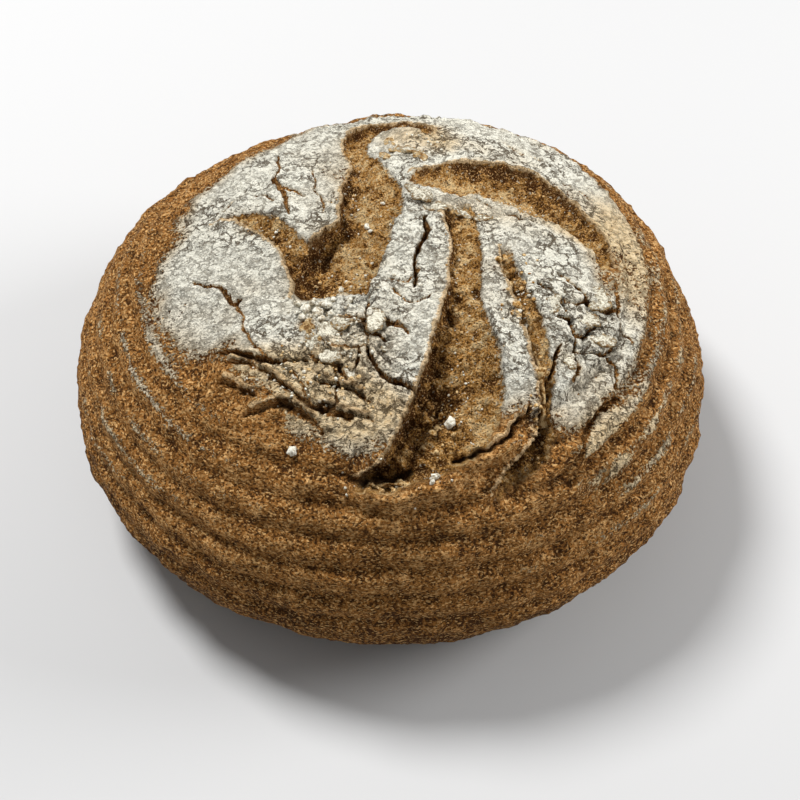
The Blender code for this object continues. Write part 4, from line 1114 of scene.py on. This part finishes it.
def crust_material():
    """Browned crust, torn crumb and clumped flour, told apart by the mesh's own values, with painted shade in
    cracks, pores, slits, flour gaps and by the tears' steep walls.
    """
    n = Nodes("floured_crust")
    place, torn = n.place(), n.value("torn")
    speck = n.span(n.noise(place, 1050.0, 1.0, 0.5), 0.28, 0.72, smooth=False)
    grit = n.span(n.noise(place, 560.0, 4.0, 0.7), 0.3, 0.7, smooth=False)
    clump = n.span(n.noise(place, 230.0, 4.0, 0.62), 0.3, 0.7, smooth=False)
    smooth_coat = n.span(n.noise(place, 28.0, 2.0, 0.5), 0.44, 0.6)
    pepper = n.span(n.noise(place, 1450.0, 1.0, 0.5), 0.35, 0.42, 1.0, 0.0)
    brown, pore = bare_crust(n, place, speck, grit, clump)
    powder, cover = flour_coat(n, speck, grit, clump, smooth_coat, pepper)
    slit = flour_slits(n, place, smooth_coat)
    # painted shade: deep cracks and the gaps between loose plates are darkened nearly to black
    crack = n.times(n.span(n.times_plus(grit, 0.5, n.value("gap")), 0.0, 0.4, 1.0, 0.0), n.value("crack_shade"))
    lip_line = n.span(n.times_plus(grit, 0.35, n.value("rim")), 0.72, 0.86)
    lip_line = n.times(lip_line, n.span(torn, 0.45, 0.8, 1.0, 0.0))
    lip_tone = n.times_plus(pepper, -0.5, n.times_plus(clump, 0.5, grit))
    lip_colour = n.blend(n.span(lip_tone, 0.2, 0.95), RIM_BROWN, RIM_TAN)

    colour = n.blend(cover, brown, powder)
    # slits: crust showing through the flour, darkened as painted shade
    colour = n.blend(n.times(slit, n.times(cover, 0.92)), colour, SLIT_BROWN)
    colour = n.blend(n.times(lip_line, 0.85), colour, lip_colour)
    # painted shade laid into the cracks and plate gaps
    colour = n.blend(n.times(crack, 0.92), colour, CRACK_SHADE_BROWN)

    height = n.times_plus(speck, 0.24, n.times_plus(grit, 0.45, n.times(clump, 0.6)))
    height = n.times(height, n.times_plus(n.larger(cover, torn), 0.75, 0.5))
    for share, rise in ((cover, 0.22), (pore, -0.15), (slit, -0.4), (crack, -0.5)):
        height = n.times_plus(share, rise, height)
    n.finish(colour, height, 1.0, 0.0016)
    n.tree.links.new(n.span(cover, 0.0, 1.0, 0.75, 0.95, smooth=False), n.shader.inputs["Roughness"])
    return n.material


def mottled(n, place, fine_scale, coarse_scale):
    """Tone of small crumbs: fine grit over coarser clumps."""
    grit = n.span(n.noise(place, fine_scale, 3.0, 0.65), 0.3, 0.7)
    clump = n.span(n.noise(place, coarse_scale, 3.0, 0.6), 0.3, 0.7)
    return n.times_plus(grit, 0.6, n.times(clump, 0.5))


def lump_material(name, dark, middle, pale):
    """Mottled crumb or flour of the loose lumps; the mottle also raises the bump, so its dark low spots are
    partly painted shade.
    """
    n = Nodes(name)
    tone = mottled(n, n.place(), 900.0, 300.0)
    colour = n.blend(n.span(tone, 0.1, 0.42), dark, middle)
    colour = n.blend(n.span(tone, 0.38, 0.7), colour, pale)
    return n.finish(colour, tone, 0.9, 0.0007)


def flake_material():
    """Tan broken crust with flour on its upper face; the tone also raises the bump, so low spots are partly
    painted shade.
    """
    n = Nodes("broken_flake")
    place = n.place()
    tone = mottled(n, place, 760.0, 260.0)
    colour = n.blend(n.span(tone, 0.2, 0.55), FLAKE_BROWN, FLAKE_TAN)
    colour = n.blend(n.span(tone, 0.6, 0.95), colour, FLAKE_CREAM)
    speck = n.span(n.noise(place, 1250.0, 1.0, 0.5), 0.3, 0.7, smooth=False)
    margin = n.times_plus(tone, 0.45, n.times_plus(speck, 0.4, n.value("powder")))
    # thin or low flour on the flakes is greyed as painted shade
    powder = n.blend(n.span(margin, 1.1, 1.45, 1.0, 0.0), FLAKE_FLOUR, FLOUR_SHADE)
    pepper = n.span(n.noise(place, 1450.0, 1.0, 0.5), 0.38, 0.45, 1.0, 0.0)
    powder = n.blend(n.times(pepper, 0.6), powder, FLOUR_SHADE)
    return n.finish(n.blend(n.span(margin, 0.98, 1.14), colour, powder), tone, 1.0, 0.0009)


def set_floor():
    """Plain pale floor."""
    mesh = bmesh.new()
    bmesh.ops.create_grid(mesh, x_segments=1, y_segments=1, size=FLOOR_HALF_WIDTH)
    data = bpy.data.meshes.new("floor")
    mesh.to_mesh(data)
    mesh.free()
    n = Nodes("pale_floor")
    n.shader.inputs["Base Color"].default_value = FLOOR_GREY
    n.shader.inputs["Roughness"].default_value = MATT_ROUGHNESS
    data.materials.append(n.material)
    floor = add_object("floor", data)


def set_lights():
    """Pale room, a large soft light behind on the left and a fainter one on the right."""
    world = bpy.data.worlds.new("room")
    bpy.context.scene.world = world
    world.use_nodes = True
    background = world.node_tree.nodes["Background"]
    background.inputs["Color"].default_value = ROOM_WHITE
    background.inputs["Strength"].default_value = ROOM_STRENGTH
    for name, spot, diameter, power in LIGHTS:
        light = bpy.data.lights.new(name, "AREA")
        light.shape = "DISK"
        light.size = diameter
        light.energy = power
        lamp = add_object(name, light)
        lamp.location = spot
        lamp.rotation_euler = (Vector(LIGHT_AIM) - Vector(spot)).to_track_quat("-Z", "Y").to_euler()


def set_camera():
    """The photo's camera: in front of the loaf, looking down on it."""
    scene = bpy.context.scene
    scene.view_settings.view_transform = "Standard"
    data = bpy.data.cameras.new("camera")
    data.sensor_width = SENSOR_WIDTH
    data.lens = LENS
    data.clip_start = NEAREST_SEEN
    camera = add_object("camera", data)
    elevation = math.radians(CAMERA_HEIGHT_ANGLE)
    back_and_up = Vector((0.0, -CAMERA_DISTANCE * math.cos(elevation), CAMERA_DISTANCE * math.sin(elevation)))
    camera.location = Vector(CAMERA_AIM) + back_and_up
    camera.rotation_euler = (math.radians(90.0 - CAMERA_HEIGHT_ANGLE), 0.0, 0.0)
    scene.camera = camera


set_floor()
set_lights()
set_camera()
crust = crust_mesh()
add_piece("loaf_crust", crust, crust_material())
tree = crust_tree(crust)
add_piece("flour_lumps", finished(loose_lumps(tree, FLOUR_LUMPS, FLOUR_CRUMBS, 3), "flour_lumps"),
          lump_material("flour_lump", FLOUR_SHADE, FLOUR_CREAM, FLOUR_WHITE))
add_piece("crumb_lumps", finished(loose_lumps(tree, CRUMB_LUMPS, BROWN_CRUMBS, 11), "crumb_lumps"),
          lump_material("crumb_lump", TORN_DARK, TORN_MID, TORN_PALE))
add_piece("crust_flakes", finished(flake_mesh(tree), "crust_flakes"), flake_material())
add_piece("dough_strands", finished(strand_mesh(tree), "dough_strands"),
          lump_material("strand_tan", TORN_DARK, STRAND_TAN, TORN_PALE))
